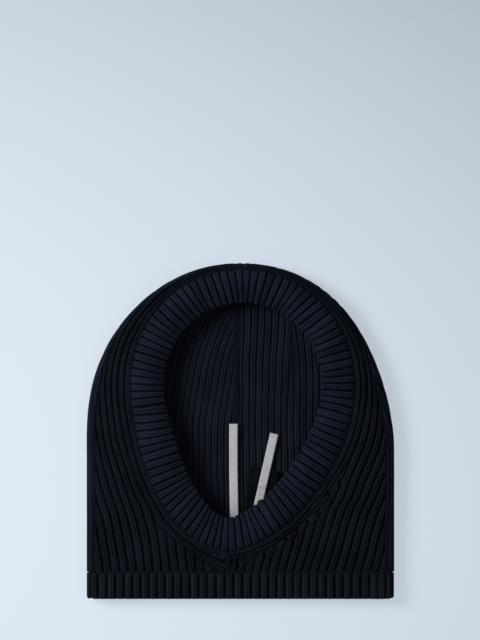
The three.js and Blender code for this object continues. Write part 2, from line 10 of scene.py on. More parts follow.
import bmesh
import bpy
import numpy as np
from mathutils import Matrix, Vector


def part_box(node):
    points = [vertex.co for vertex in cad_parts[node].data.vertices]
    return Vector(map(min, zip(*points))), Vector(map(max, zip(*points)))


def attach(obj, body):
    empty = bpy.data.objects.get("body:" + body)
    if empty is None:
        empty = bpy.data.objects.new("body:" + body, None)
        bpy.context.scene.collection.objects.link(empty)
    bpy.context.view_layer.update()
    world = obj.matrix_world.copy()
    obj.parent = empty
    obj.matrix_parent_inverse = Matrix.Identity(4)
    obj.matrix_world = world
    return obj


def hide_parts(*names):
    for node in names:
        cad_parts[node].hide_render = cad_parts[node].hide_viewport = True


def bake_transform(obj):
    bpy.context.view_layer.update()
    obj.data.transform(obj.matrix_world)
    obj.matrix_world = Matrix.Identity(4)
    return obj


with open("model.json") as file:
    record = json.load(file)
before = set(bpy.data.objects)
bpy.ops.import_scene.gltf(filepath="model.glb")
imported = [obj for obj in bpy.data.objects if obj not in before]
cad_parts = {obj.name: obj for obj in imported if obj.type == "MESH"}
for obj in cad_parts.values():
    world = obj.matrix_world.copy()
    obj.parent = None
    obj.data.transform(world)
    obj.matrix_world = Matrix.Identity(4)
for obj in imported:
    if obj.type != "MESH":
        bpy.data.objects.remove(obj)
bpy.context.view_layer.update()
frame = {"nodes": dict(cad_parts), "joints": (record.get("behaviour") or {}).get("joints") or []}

bl_info = {
    "name": "Rib-knit balaclava",
    "version": (1, 0, 0),
    "blender": (4, 5, 0),
    "location": "View3D > Sidebar > Balaclava",
    "description": "Builds a rib-knitted balaclava, its seams, tapes, care label and stage",
    "category": "Object",
}

MM = 0.001


def extent(node):
    """Lowest and highest corner of a CAD node, in millimetres."""
    low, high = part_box(node)
    return low / MM, high / MM


BACK_LOW, BACK_HIGH = extent("back_panel")
FRONT_HIGH = extent("front_panel")[1]
BAND_LOW, BAND_HIGH = extent("face_band")
HEM_LOW, HEM_HIGH = extent("hem_band")
HEM_JOIN = extent("hem_band_join")
HEM_JOIN_X = (HEM_JOIN[0].x + HEM_JOIN[1].x) / 2
CHIN_JOIN = extent("chin_seam")
LONG_ROOT = extent("long_tape_root")
STITCHING = extent("label_stitching")

# Outline of the hood laid flat
HALF_WIDTH = HEM_HIGH.x
TOP_Y = BACK_HIGH.y
PANEL_Y = BACK_LOW.y
CROWN_RISE = 160
SHOULDER_Y = TOP_Y - CROWN_RISE
CROWN_ROUND = 2.1
CROWN_LEAN = 2.6

# Face opening and its band
BAND_HALF = BAND_HIGH.x
BAND_UP = 100
OPEN_Y = BAND_HIGH.y - BAND_UP
BAND_DOWN = OPEN_Y - BAND_LOW.y
BAND_WIDTH = 28
LIP_ROLL = 1.0  # how far the lip's roll comes into the opening
LIP_HALF = BAND_HALF - BAND_WIDTH - LIP_ROLL
LIP_UP = BAND_UP - BAND_WIDTH - LIP_ROLL
LIP_DOWN = BAND_DOWN - BAND_WIDTH - LIP_ROLL
BAND_ROUND_UP = 2.05
BAND_ROUND_DOWN = 1.8
LIP_ROUND_UP = 2
LIP_ROUND_DOWN = 1.55
CHIN_SHIFT = 10.5
SWAY = 2  # above the chin the opening lies this far to the right
CHIN_X = (CHIN_JOIN[0].x + CHIN_JOIN[1].x) / 2

# Heights over the surface the hood lies on
HEM_LIFT = HEM_HIGH.z
SIDE_LIFT = 17
CROWN_LIFT = 20
EDGE_LIFT = FRONT_HIGH.z
BAND_EDGE_MID = 19.5
BAND_LIP_MID = 18.7
BAND_EDGE_THICK = 4.4
BAND_LIP_THICK = 7.2
BAND_BULGE = 4
FOLD_DEPTH_SIDE = 8.5
FOLD_DEPTH_CROWN = 3.8
SEAM_ANGLE_SIDE = 80
SEAM_ANGLE_CROWN = 5
YARN = 1.6
SLOT = 2.2

HEM_TUCK = 1.4  # the hem's upper edge reaches this far under the linking stitches

BORDER_FROM = (-69.5, -82)  # the left border's outer edge runs straight from here
BORDER_TO = (-18, -121.3)  # to here, at the hem

# The knitting
COURSE = 2.4  # height of one row of stitches, drawn coarser than the real 1.8 mm so that it shows
BACK_PITCH = 5.5  # width of one rib of the back
BAND_RIBS = 96
HEM_RIBS = 75
BACK_WALL = 3.2
FRONT_WALL = 3.1
BAND_WALL = 2.4
HEM_WALL = 3.4
FRONT_RIBS = {-1: 17, 1: 20}  # ribs that the left and the right half of the front have room for
SAMPLES = 9  # mesh columns across one rib
ROW_STEP = 2.8  # mesh rows along a rib
BAND_WALL_ROWS = 13  # mesh rows over the upper or the lower wall of the band
BAND_ROLL_ROWS = 8  # mesh rows round its lip
HALVINGS = 45  # rounds in which an edge is found by halving

# Tapes and label
TAPE_WIDTH = 7.3
TAPE_THICK = 0.8
TWILL_STEP = 1.1
LABEL_THICK = 0.25
SHORT_TAPE_SHIFT = 0.6  # how far right of its solid the short tape lies

# Where the back's crown is narrowed, ribs end at these two lines
NARROW_LEFT = (-3.0, 14, 108)  # x of the line, and the heights where it begins and ends
NARROW_RIGHT = (45.0, 42, 76)

# The camera, in metres
CAMERA_PLACE = (-0.0004, 0.0958, 3.0)
VIEW_HALF = 0.276  # half the height of floor that it sees


# ---------------------------------------------------------------- settings


class BalaclavaKnit(bpy.types.PropertyGroup):
    """Sizes of the ribs."""

    rib_height: bpy.props.FloatProperty(
        name="Rib height",
        description="Depth of the groove between two ribs",
        default=2.3 * MM,
        min=0,
        unit="LENGTH",
        subtype="DISTANCE",
    )
    band_rib_height: bpy.props.FloatProperty(
        name="Band rib height",
        description="Depth of the grooves of the face band",
        default=2.2 * MM,
        min=0,
        unit="LENGTH",
        subtype="DISTANCE",
    )


class BalaclavaColours(bpy.types.PropertyGroup):
    """Colours of the finishes, as sRGB hex numbers."""

    panel: bpy.props.StringProperty(
        name="Back wool", description="Colour of the back panel's yarn", default="0e1118"
    )
    front: bpy.props.StringProperty(
        name="Front wool", description="Colour of the front panel's yarn", default="0b0e14"
    )
    band: bpy.props.StringProperty(
        name="Band wool", description="Colour of the face band's yarn", default="10141c"
    )
    hem: bpy.props.StringProperty(
        name="Hem wool", description="Colour of the hem band's yarn", default="0e1217"
    )
    tape: bpy.props.StringProperty(
        name="Tape", description="Colour of the woven tapes", default="b0afaf"
    )
    label: bpy.props.StringProperty(
        name="Label", description="Colour of the satin care label", default="04060a"
    )
    floor: bpy.props.StringProperty(
        name="Floor", description="Colour that the unlit floor has", default="7a7e82"
    )
    # glow and dim colour the floor's painted light: a pool of light painted into its emission, not light
    # from below
    glow: bpy.props.StringProperty(
        name="Glow", description="Light from below the floor where it is strongest", default="bbc6d0"
    )
    dim: bpy.props.StringProperty(
        name="Dim glow", description="Light from below the floor far from there", default="7d828f"
    )


# ---------------------------------------------------------------- curves in plan


def smoothstep(value, low, high):
    share = np.clip((value - low) / (high - low), 0, 1)
    return share * share * (3 - 2 * share)


def mix(a, b, share):
    return a + (b - a) * share


def sway(y):
    return SWAY * smoothstep(y, -60, 10)


def crown_centre(rise):
    return -CROWN_LEAN * np.sin(np.pi * np.clip(rise, 0, 1)) ** 1.5


def inside_outline(x, y):
    """Depth inside the outline, and the outline's outward direction there."""
    rise = np.maximum((y - SHOULDER_Y) / CROWN_RISE, 1e-9)
    off = x - crown_centre(rise)
    across = np.maximum(np.abs(off) / HALF_WIDTH, 1e-9)
    size = (across**CROWN_ROUND + rise**CROWN_ROUND) ** (1 / CROWN_ROUND)
    slope_x = (across / size) ** (CROWN_ROUND - 1) / HALF_WIDTH
    slope_y = (rise / size) ** (CROWN_ROUND - 1) / CROWN_RISE
    slope = np.hypot(slope_x, slope_y)
    return (1 - size) / slope, np.sign(off) * slope_x / slope, slope_y / slope


def egg(angle, half, up, down, round_up, round_down):
    """Egg-shaped loop: angle 0 is its top, a right angle its left, pi the chin."""
    s, c = np.sin(angle), np.cos(angle)
    power = 2 / np.where(c >= 0, round_up, round_down)
    share = np.abs(c) ** power
    x = -np.sign(s) * half * np.abs(s) ** power
    x = x - CHIN_SHIFT * np.where(c < 0, share, 0) ** 2.5
    y = OPEN_Y + np.sign(c) * np.where(c >= 0, up, down) * share
    return x + sway(y), y


def band_edge(angle, grow=0.0):
    return egg(angle, BAND_HALF + grow, BAND_UP + grow, BAND_DOWN + grow, BAND_ROUND_UP, BAND_ROUND_DOWN)


def lip_edge(angle):
    return egg(angle, LIP_HALF, LIP_UP, LIP_DOWN, LIP_ROUND_UP, LIP_ROUND_DOWN)


def by_length(curve, shares):
    """Points of a loop at shares of its two halves: 0 is the top, -1 and 1 the chin."""
    angle = np.linspace(0, np.pi, 1500)
    found = []
    for side in (-1, 1):
        x, y = curve(side * angle)
        length = np.concatenate([[0], np.cumsum(np.hypot(np.diff(x), np.diff(y)))])
        turn = np.interp(np.abs(shares), length / length[-1], angle)
        found.append(curve(side * turn))
    left = shares > 0
    return np.where(left, found[1][0], found[0][0]), np.where(left, found[1][1], found[0][1])


# ---------------------------------------------------------------- heights


def fold_lift(y):
    side = mix(HEM_LIFT, SIDE_LIFT, smoothstep(y, PANEL_Y, SHOULDER_Y))
    return side + (CROWN_LIFT - SIDE_LIFT) * smoothstep(y, OPEN_Y, TOP_Y)


def fold_depth(y):
    return mix(FOLD_DEPTH_SIDE, FOLD_DEPTH_CROWN, smoothstep(y, OPEN_Y, BAND_HIGH.y))


def seam_angle(y):
    return np.radians(mix(SEAM_ANGLE_SIDE, SEAM_ANGLE_CROWN, smoothstep(y, OPEN_Y, BAND_HIGH.y)))


def slot_angle(y, slot=SLOT):
    angle = seam_angle(y)
    across = fold_depth(y) * np.sin(angle)
    return slot / 2 / np.hypot(across, fold_lift(y) / 2 * np.cos(angle))


def fold_top(x, y):
    """Height of the folded edge's upper face over a point in plan."""
    depth = fold_depth(y)
    angle = np.arccos(1 - np.clip(inside_outline(x, y)[0], 0, depth) / depth)
    return fold_lift(y) / 2 * (1 + np.sin(angle))


# ---------------------------------------------------------------- meshes


def rib_profile(phase, dip=0.22):
    """Height of a rib from 0 to 1: a wide crest of two wales, parted by a dip, and a groove."""
    wave = np.abs(np.sin(np.pi * phase)) ** 0.8
    middle = np.abs(phase - np.floor(phase) - 0.5) / 0.12
    return wave * (1 - dip * np.exp(-(middle**2)))


def uneven(phase):
    """Share by which one rib stands higher or lower than the next."""
    count = np.floor(phase)
    return 1 + 0.1 * np.sin(count * 2.4) + 0.07 * np.sin(count * 5.3 + 1)


def surface_normals(points):
    """Unit normals of a grid of points, rows by columns."""
    down = np.gradient(points, axis=0)
    across = np.gradient(points, axis=1)
    normal = np.cross(across, down)
    length = np.linalg.norm(normal, axis=2, keepdims=True)
    return normal / np.maximum(length, 1e-9)


def travel(points):
    """Distance along each column of a grid of points, from its first row."""
    step = np.linalg.norm(np.diff(points, axis=0), axis=2)
    return np.concatenate([np.zeros((1, points.shape[1])), np.cumsum(step, axis=0)])


def new_object(name, bm, body, material):
    mesh = bpy.data.meshes.new(name)
    bm.to_mesh(mesh)
    bm.free()
    mesh.shade_smooth()
    piece = bpy.data.objects.new(name, mesh)
    bpy.context.scene.collection.objects.link(piece)
    mesh.materials.append(material)
    if body:
        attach(piece, body)
    return piece


def grid_indices(bm, rows, columns):
    """Row and column of each vertex of a unit grid."""
    place = np.array([v.co for v in bm.verts])
    column = np.rint((place[:, 0] + 0.5) * (columns - 1)).astype(int)
    row = np.rint((place[:, 1] + 0.5) * (rows - 1)).astype(int)
    return row, column, place[:, 2] > 0.5


def unit_grid(rows, columns, thick):
    """A grid of the given count of points, with a second layer and a rim if thick."""
    bm = bmesh.new()
    bmesh.ops.create_grid(bm, x_segments=columns - 1, y_segments=rows - 1, size=0.5)
    if thick:
        made = bmesh.ops.extrude_face_region(bm, geom=bm.faces[:], use_keep_orig=True)
        layer = [v for v in made["geom"] if isinstance(v, bmesh.types.BMVert)]
        bmesh.ops.translate(bm, verts=layer, vec=(0, 0, 1))
        bmesh.ops.recalc_face_normals(bm, faces=bm.faces)
    return bm


def write_uv(mesh, name, u, v):
    layer = mesh.uv_layers.new(name=name)
    corner = np.zeros(len(mesh.loops), int)
    mesh.loops.foreach_get("vertex_index", corner)
    layer.data.foreach_set("uv", np.stack([u[corner], v[corner]], axis=1).astype(np.float32).ravel())


def cloth(name, outer, inner, phase, course, material, body="hood"):
    """A closed sheet between two grids of points, with the knitting's own map."""
    rows, columns = phase.shape
    bm = unit_grid(rows, columns, thick=True)
    row, column, second = grid_indices(bm, rows, columns)
    place = np.where(second[:, None], inner[row, column], outer[row, column]) * MM
    for vertex, point in zip(bm.verts, place):
        vertex.co = point
    if bm.calc_volume(signed=True) < 0:
        bmesh.ops.reverse_faces(bm, faces=bm.faces)
    piece = new_object(name, bm, body, material)
    write_uv(piece.data, "knit", phase[row, column], course[row, column])
    return piece


def strands(name, paths, radius, body, material, sides=6):
    """Round yarns along several lists of points, closed at both ends."""
    whole = bmesh.new()
    for path in paths:
        path = np.asarray(path, float)
        along = np.gradient(path, axis=0)
        along /= np.linalg.norm(along, axis=1, keepdims=True)
        up = np.where(np.abs(along[:, 2:3]) > 0.9, [[0.0, 1.0, 0.0]], [[0.0, 0.0, 1.0]])
        side = np.cross(along, up)
        side /= np.linalg.norm(side, axis=1, keepdims=True)
        up = np.cross(side, along)
        bm = unit_grid(len(path), sides + 1, thick=False)
        row, column, _ = grid_indices(bm, len(path), sides + 1)
        turn = 2 * np.pi * column / sides
        ring = np.cos(turn)[:, None] * side[row] + np.sin(turn)[:, None] * up[row]
        for vertex, point in zip(bm.verts, (path[row] + ring * radius) * MM):
            vertex.co = point
        bmesh.ops.remove_doubles(bm, verts=bm.verts, dist=1e-7)
        bmesh.ops.holes_fill(bm, edges=bm.edges)
        bmesh.ops.recalc_face_normals(bm, faces=bm.faces)
        part = bpy.data.meshes.new("part")
        bm.to_mesh(part)
        bm.free()
        whole.from_mesh(part)
        bpy.data.meshes.remove(part)
    return new_object(name, whole, body, material)


def lengths_along(points):
    """Distance of each point of a line from its first."""
    steps = np.linalg.norm(np.diff(points, axis=0), axis=1)
    return np.concatenate([[0], np.cumsum(steps)])


def at_lengths(where, length, points):
    """A line's values at the given distances along it."""
    return np.stack([np.interp(where, length, points[:, k]) for k in range(3)], axis=1)


def resample(points, step):
    """A line's points again at even steps, and their distances along it."""
    points = np.asarray(points, float)
    length = lengths_along(points)
    count = max(int(length[-1] / step), 4) + 1
    where = np.linspace(0, length[-1], count)
    return at_lengths(where, length, points), where


def chain_paths(points, up, pitch, width, lift):
    """Two strands that cross over each other, as in a row of linking stitches."""
    line, where = resample(points, pitch / 7)
    up_line = at_lengths(where, np.linspace(0, where[-1], len(up)), up)
    along = np.gradient(line, axis=0)
    side = np.cross(along, up_line)
    side /= np.linalg.norm(side, axis=1, keepdims=True)
    turn = 2 * np.pi * where / pitch
    paths = []
    for phase in (0, np.pi):
        across = np.sin(turn + phase)[:, None] * side * width
        rise = np.cos(turn + phase)[:, None] * up_line * lift
        paths.append(line + across + rise)
    return paths


# ---------------------------------------------------------------- materials


def linear(hex_colour):
    """Linear colour of an sRGB hex number."""
    values = [int(hex_colour[i : i + 2], 16) / 255 for i in (0, 2, 4)]
    return [v / 12.92 if v <= 0.04045 else ((v + 0.055) / 1.055) ** 2.4 for v in values] + [1.0]


def add(tree, kind, *inputs, links=None, **settings):
    """Adds a node with its settings. Its inputs are given in order, or by name in links; a
    node given as an input stands for its first output."""
    node = tree.nodes.new("ShaderNode" + kind)
    for key, value in settings.items():
        setattr(node, key, value)
    for key, value in (*enumerate(inputs), *(links or {}).items()):
        source = value.outputs[0] if isinstance(value, bpy.types.Node) else value
        if isinstance(source, bpy.types.NodeSocket):
            tree.links.new(source, node.inputs[key])
        else:
            node.inputs[key].default_value = source
    return node


def new_material(name):
    material = bpy.data.materials.new(name)
    material.use_nodes = True
    material.node_tree.nodes.clear()
    return material, material.node_tree


def shades(tree, level, colour, dark, light):
    """A ramp between a darker and a lighter shade of one linear colour."""
    ramp = add(tree, "ValToRGB", level)
    for stop, share in zip(ramp.color_ramp.elements, (dark, light)):
        stop.color = [min(channel * share, 1) for channel in colour[:3]] + [1]
    return ramp


def worsted_knit(name, colour, groove):
    """Worsted wool, rib-knitted and lightly fulled: matt, with loose fibres that blur it, and two columns
    of V-shaped stitches to a rib. Its colour is painted lighter on the crests as a painted highlight and
    darker in the grooves as painted shade. A higher groove number widens the painted shade between the
    ribs."""
    material, tree = new_material(name)
    split = add(tree, "SeparateXYZ", add(tree, "UVMap", uv_map="knit"))
    rib_count, row_count = split.outputs["X"], split.outputs["Y"]
    wale = add(tree, "Math", add(tree, "Math", rib_count, 2, operation="MULTIPLY"), operation="FRACT")
    side = add(tree, "Math", add(tree, "Math", wale, 0.5, operation="SUBTRACT"), operation="ABSOLUTE")
    # the two legs of a stitch climb outwards from the middle of its column
    climb = add(tree, "Math", side, -1.5, row_count, operation="MULTIPLY_ADD")
    row = add(tree, "Math", add(tree, "Math", climb, operation="FRACT"), math.pi, operation="MULTIPLY")
    leg = add(tree, "Math", row, operation="SINE")
    apart = add(tree, "Math", add(tree, "Math", side, math.pi, operation="MULTIPLY"), operation="COSINE")
    body = add(tree, "Math", apart, 0.75, 0.25, operation="MULTIPLY_ADD")
    stitch = add(tree, "Math", leg, body, operation="MULTIPLY")
    # painted highlight and painted shade: the crest lightens the colour and the groove darkens it, standing
    # in for light on the ribs and shade between them
    turn = add(tree, "Math", rib_count, math.pi, operation="MULTIPLY")
    rib = add(tree, "Math", add(tree, "Math", turn, operation="SINE"), operation="ABSOLUTE")
    crest = add(tree, "Math", rib, groove, operation="POWER")
    place = add(tree, "TexCoord").outputs["Object"]
    # loose fibres in tufts about a millimetre apart, and uneven dye over a few centimetres
    fuzz = add(tree, "TexNoise", place, links={"Scale": 950, "Detail": 4, "Roughness": 0.75})
    cloud = add(tree, "TexNoise", place, links={"Scale": 35, "Detail": 2})
    # one rib takes the dye a little darker than the next
    number = add(tree, "Math", add(tree, "Math", rib_count, operation="FLOOR"), 2.4, operation="MULTIPLY")
    batch = add(tree, "Math", number, operation="SINE")
    level = add(tree, "Math", stitch, 1.15, operation="MULTIPLY")
    level = add(tree, "Math", level, crest, operation="MULTIPLY")
    level = add(tree, "Math", fuzz, 0.9, level, operation="MULTIPLY_ADD")
    level = add(tree, "Math", cloud, 0.5, level, operation="MULTIPLY_ADD")
    level = add(tree, "Math", batch, 0.05, level, operation="MULTIPLY_ADD")
    level = add(tree, "Math", level, 0.75, operation="SUBTRACT")
    # the ramp paints the grooves' shade and the crests' highlight into the yarn's colour
    ramp = shades(tree, level, linear(colour), 0.04, 3.4)
    bump = add(tree, "Bump", links={"Height": stitch, "Strength": 0.8, "Distance": 0.6 * MM})
    fibre = add(tree, "Bump", links={"Height": fuzz, "Strength": 0.6, "Distance": 0.4 * MM, "Normal": bump})
    finish = {"Base Color": ramp, "Roughness": 0.92, "Specular IOR Level": 0.03, "Normal": fibre}
    finish |= {"Sheen Weight": 0.02, "Sheen Roughness": 0.5, "Sheen Tint": linear("8fa0c0")}
    shader = add(tree, "BsdfPrincipled", links=finish)
    add(tree, "OutputMaterial", shader)
    return material


def plied_yarn(name, colour):
    """Plied linking yarn: smoother than the knitting, with a fine twist."""
    material, tree = new_material(name)
    place = add(tree, "TexCoord").outputs["Object"]
    fuzz = add(tree, "TexNoise", place, links={"Scale": 1400, "Detail": 3})
    ramp = shades(tree, fuzz, linear(colour), 0.1, 1.9)
    bump = add(tree, "Bump", links={"Height": fuzz, "Strength": 0.5, "Distance": 0.2 * MM})
    finish = {"Base Color": ramp, "Roughness": 0.9, "Specular IOR Level": 0.03, "Normal": bump}
    add(tree, "OutputMaterial", add(tree, "BsdfPrincipled", links=finish))
    return material


def twill_tape(name, colour):
    """Cotton tape woven in herringbone twill: pale and matt, with fine slanting lines that turn
    at its middle, firm selvedges, and wool fibres that have greyed it."""
    material, tree = new_material(name)
    split = add(tree, "SeparateXYZ", add(tree, "UVMap", uv_map="knit"))
    across = add(tree, "Math", add(tree, "Math", split, 0.5, operation="SUBTRACT"), operation="ABSOLUTE")
    # twill lines 1.1 mm apart along the tape, at 45 degrees, a little coarser than real ones
    slant = add(tree, "Math", across, TAPE_WIDTH / TWILL_STEP, split.outputs["Y"], operation="MULTIPLY_ADD")
    turn = add(tree, "Math", slant, math.pi, operation="MULTIPLY")
    line = add(tree, "Math", add(tree, "Math", turn, operation="SINE"), operation="ABSOLUTE")
    selvedge = add(tree, "Math", across, 0.44, operation="GREATER_THAN")
    place = add(tree, "TexCoord").outputs["Object"]
    grime = add(tree, "TexNoise", place, links={"Scale": 170, "Detail": 4, "Roughness": 0.65})
    level = add(tree, "Math", line, 0.35, operation="MULTIPLY")
    level = add(tree, "Math", grime, 0.8, level, operation="MULTIPLY_ADD")
    level = add(tree, "Math", selvedge, -0.15, level, operation="MULTIPLY_ADD")
    ramp = shades(tree, level, linear(colour), 0.5, 1.15)
    bump = add(tree, "Bump", links={"Height": line, "Strength": 0.6, "Distance": 0.15 * MM})
    finish = {"Base Color": ramp, "Roughness": 0.8, "Specular IOR Level": 0.25, "Normal": bump}
    add(tree, "OutputMaterial", add(tree, "BsdfPrincipled", links=finish))
    return material


def woven_satin(name, colour):
    """Polyester satin ribbon: nearly black, with a soft streaked gloss along its long floats."""
    material, tree = new_material(name)
    uv = add(tree, "UVMap", uv_map="knit")
    # floats a third of a millimetre wide and some millimetres long
    stretch = add(tree, "Mapping", uv, links={"Scale": (80, 0.3, 1)})
    streak = add(tree, "TexNoise", stretch, links={"Scale": 1, "Detail": 2})
    ramp = shades(tree, streak, linear(colour), 0.6, 1.6)
    bump = add(tree, "Bump", links={"Height": streak, "Strength": 0.3, "Distance": 0.08 * MM})
    finish = {"Base Color": ramp, "Roughness": 0.5, "Specular IOR Level": 0.04}
    finish |= {"Anisotropic": 0.4, "Normal": bump}
    add(tree, "OutputMaterial", add(tree, "BsdfPrincipled", links=finish))
    return material


def painted_light_floor(name, colour, glow, dim):
    """Pale matt floor whose emission is painted light, not a lamp: it keeps shadows on it faint. This
    painted pool of light is strongest beside the hood's left and weakens slowly outwards."""
    material, tree = new_material(name)
    place = add(tree, "TexCoord").outputs["Object"]
    move = add(tree, "Mapping", place, links={"Location": (0.26, 0.16, 0), "Scale": (1.05, 1.58, 0)})
    away = add(tree, "VectorMath", move, operation="LENGTH").outputs["Value"]
    fall = add(tree, "Math", away, 2, operation="POWER")
    ramp = add(tree, "ValToRGB", fall)
    ramp.color_ramp.elements[0].color = linear(glow)
    ramp.color_ramp.elements[1].color = linear(dim)
    finish = {"Base Color": linear(colour), "Roughness": 0.7, "Specular IOR Level": 0.1}
    finish |= {"Emission Color": ramp, "Emission Strength": 1}
    add(tree, "OutputMaterial", add(tree, "BsdfPrincipled", links=finish))
    return material


def finish_named(name):
    """The finish of that name, made once and shared by its pieces."""
    found = bpy.data.materials.get(name)
    if found:
        return found
    colours = bpy.context.scene.balaclava_colours
    makers = {
        # the last number sets how wide each wool's painted groove shade is
        "worsted_back_knit": lambda: worsted_knit(name, colours.panel, 0.4),
        "worsted_front_knit": lambda: worsted_knit(name, colours.front, 0.8),
        "worsted_band_knit": lambda: worsted_knit(name, colours.band, 0.8),
        "worsted_hem_knit": lambda: worsted_knit(name, colours.hem, 0.9),
        "plied_linking_yarn": lambda: plied_yarn(name, colours.band),
        "herringbone_cotton_tape": lambda: twill_tape(name, colours.tape),
        "polyester_satin_label": lambda: woven_satin(name, colours.label),
        "painted_light_floor": lambda: painted_light_floor(name, colours.floor, colours.glow, colours.dim),
    }
    return makers[name]()


# ---------------------------------------------------------------- knitted panels


def drift(x, y):
    """Slow unevenness of hand-laid cloth, from -1 to 1."""
    wave = np.sin(x / 17 + 1.3) * np.sin(y / 23 + 0.4) + 0.6 * np.sin(x / 9.1 - y / 13.3)
    return (wave + 0.4 * np.sin(x / 31 + y / 7.7)) / 2


def lean_to(y, begin, steady):
    """How far a leaning rib has moved sideways at a height, having begun to lean at another."""
    line = np.linspace(begin, TOP_Y + 20, 400)
    slope = steady * smoothstep(line, begin, begin + 26) + 0.0001 * np.maximum(line - 40, 0) ** 2
    moved = np.concatenate([[0], np.cumsum(np.diff(line) * (slope[1:] + slope[:-1]) / 2)])
    return np.interp(y, line, moved)


def back_phase(x, y):
    """Rib count across the back: straight in the middle, leaning in at the crown's two lines."""
    x = x + 0.8 * drift(x * 0.3, y)
    left_x, right_x = NARROW_LEFT[0], NARROW_RIGHT[0]
    lean_left = lean_to(y, -8, 0.17)
    lean_right = 0.55 * lean_to(y, 38, 0.1)
    # the straight ribs between the lines spread a little to the right
    inner = np.clip((x - left_x) / (right_x - left_x), 0, 1)
    spread = 0.06 * inner * np.maximum(y - 30, 0)
    phase = (x - left_x - spread) / BACK_PITCH
    phase = np.where(x < left_x, (x - left_x - lean_left) / BACK_PITCH, phase)
    return np.where(x > right_x, (x - left_x + lean_right) / BACK_PITCH, phase)


def turn_up_length(y):
    """Length of the cloth that is rolled round a fold, up to its seam."""
    turn = np.pi / 2 + seam_angle(y) - slot_angle(y)
    return turn * (0.55 * fold_depth(y) + 0.225 * fold_lift(y))


def flat_reach(y_row):
    """Where each row of the back ends, at its left and at its right, while it lies flat."""
    centre = crown_centre((y_row - SHOULDER_Y) / CROWN_RISE)
    beyond = turn_up_length(y_row) - fold_depth(y_row)
    found = []
    for side in (-1, 1):
        low, high = np.zeros(len(y_row)), np.full(len(y_row), HALF_WIDTH + 40.0)
        for _ in range(HALVINGS):
            half = (low + high) / 2
            inside = inside_outline(centre + side * half, y_row)[0] + beyond > 0
            low, high = np.where(inside, half, low), np.where(inside, high, half)
        found.append(centre + side * low)
    return found


def back_grid():
    """The back laid out flat with its turn-ups, then rolled round the folds."""
    top = TOP_Y + turn_up_length(TOP_Y) - fold_depth(TOP_Y) - 0.6
    ramp = np.linspace(0, 1, int((top - PANEL_Y) / ROW_STEP))
    y_row = np.minimum(mix(PANEL_Y, top, ramp + 0.12 * np.sin(np.pi * ramp) ** 2 * ramp), top)
    left, right = flat_reach(y_row)
    columns = int(2 * HALF_WIDTH / BACK_PITCH * SAMPLES * 1.06)
    x = mix(left[:, None], right[:, None], np.linspace(0, 1, columns)[None, :])
    y = np.repeat(y_row[:, None], columns, axis=1)
    depth, out_x, out_y = inside_outline(x, y)
    fold = fold_depth(y)
    over = np.clip((fold - depth) / turn_up_length(y), 0, 1)
    angle = -np.pi / 2 + over * (np.pi / 2 + seam_angle(y) - slot_angle(y, SLOT * 0.5))
    shift = np.where(over > 0, (depth - fold) + fold * np.cos(angle), 0)
    z = fold_lift(y) / 2 * (1 + np.sin(angle))
    base = np.stack([x + out_x * shift, y + out_y * shift, z], axis=2)
    normal = np.stack([out_x * np.cos(angle), out_y * np.cos(angle), np.sin(angle)], axis=2)
    return base, normal, x, y


def back_panel(height):
    base, normal, x, y = back_grid()
    phase = back_phase(x, y)
    outer = base - normal * (0.72 * height * (1 - rib_profile(phase)))[..., None]
    outer[..., 2] = np.maximum(outer[..., 2], 0)
    wall = np.minimum(BACK_WALL, 0.62 * fold_depth(y))
    thin = np.stack([wall, wall, np.full_like(wall, BACK_WALL)], axis=2)
    # the ribs sink into a trough along each of the crown's two narrowing lines
    trough = np.zeros_like(x)
    for line_x, low_y, high_y in (NARROW_LEFT, NARROW_RIGHT):
        near = np.exp(-(((x - line_x) / 2.4) ** 4)) * (y > low_y - 2) * (y < high_y + 2)
        trough = np.maximum(trough, near)
    ribs = rib_profile(phase, dip=0.36) * (1 - 0.75 * trough)
    inner = base - normal * thin + normal * (0.75 * height * (1 - ribs))[..., None]
    wool = finish_named("worsted_back_knit")
    piece = cloth("back_panel_knit", outer, inner, phase, travel(base) / COURSE, wool)
    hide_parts("back_panel")


def narrowing_stitches():
    """The braided columns where ribs of the back's crown are worked together."""
    paths = []
    for x, low_y, high_y in (NARROW_LEFT, NARROW_RIGHT):
        y = np.linspace(low_y, high_y, 60)
        line = np.stack([x + 0.5 * np.sin(y / 15), y, np.full(60, BACK_WALL - 0.1)], axis=1)
        paths += chain_paths(line, upward(line), 5.4, 1.5, 0.5)
    yarn = finish_named("plied_linking_yarn")
    strands("crown_narrowing_stitches", paths, 0.5, "hood", yarn)


def front_half(side):
    """Rows of one half of the front, from the hem seam to the crown; side is -1 for left."""
    chin_angle = np.linspace(np.pi * 0.997, np.pi / 2, 64)
    crown_angle = np.linspace(np.pi / 2, 0, 60)[1:]
    if side > 0:
        chin_angle, crown_angle = -chin_angle, -crown_angle
    lower_x, lower_y = band_edge(chin_angle, SLOT * 0.55)
    upper_x, upper_y = band_edge(crown_angle, SLOT * 0.55)
    foot_y = np.linspace(PANEL_Y, lower_y[0] - 1.0, 8)
    foot_x = np.full_like(foot_y, CHIN_X + side * 0.35)
    end_x = np.concatenate([foot_x, lower_x, upper_x])
    end_y = np.concatenate([foot_y, lower_y, upper_y])
    # below the widest line a row runs level, above it runs towards the opening's middle
    level = np.zeros(len(foot_y) + len(lower_y))
    turn = np.concatenate([level, np.arctan2(upper_y - OPEN_Y, side * upper_x)])
    start_y = np.where(end_y < OPEN_Y, end_y, OPEN_Y)
    low, high = np.zeros(len(turn)), np.full(len(turn), 220.0)
    for _ in range(HALVINGS):
        reach = (low + high) / 2
        inside = inside_outline(side * reach * np.cos(turn), start_y + reach * np.sin(turn))[0] > 0
        low, high = np.where(inside, reach, low), np.where(inside, high, reach)
    edge_x, edge_y = side * low * np.cos(turn), start_y + low * np.sin(turn)
    return np.stack([edge_x, edge_y], axis=1), np.stack([end_x, end_y], axis=1)


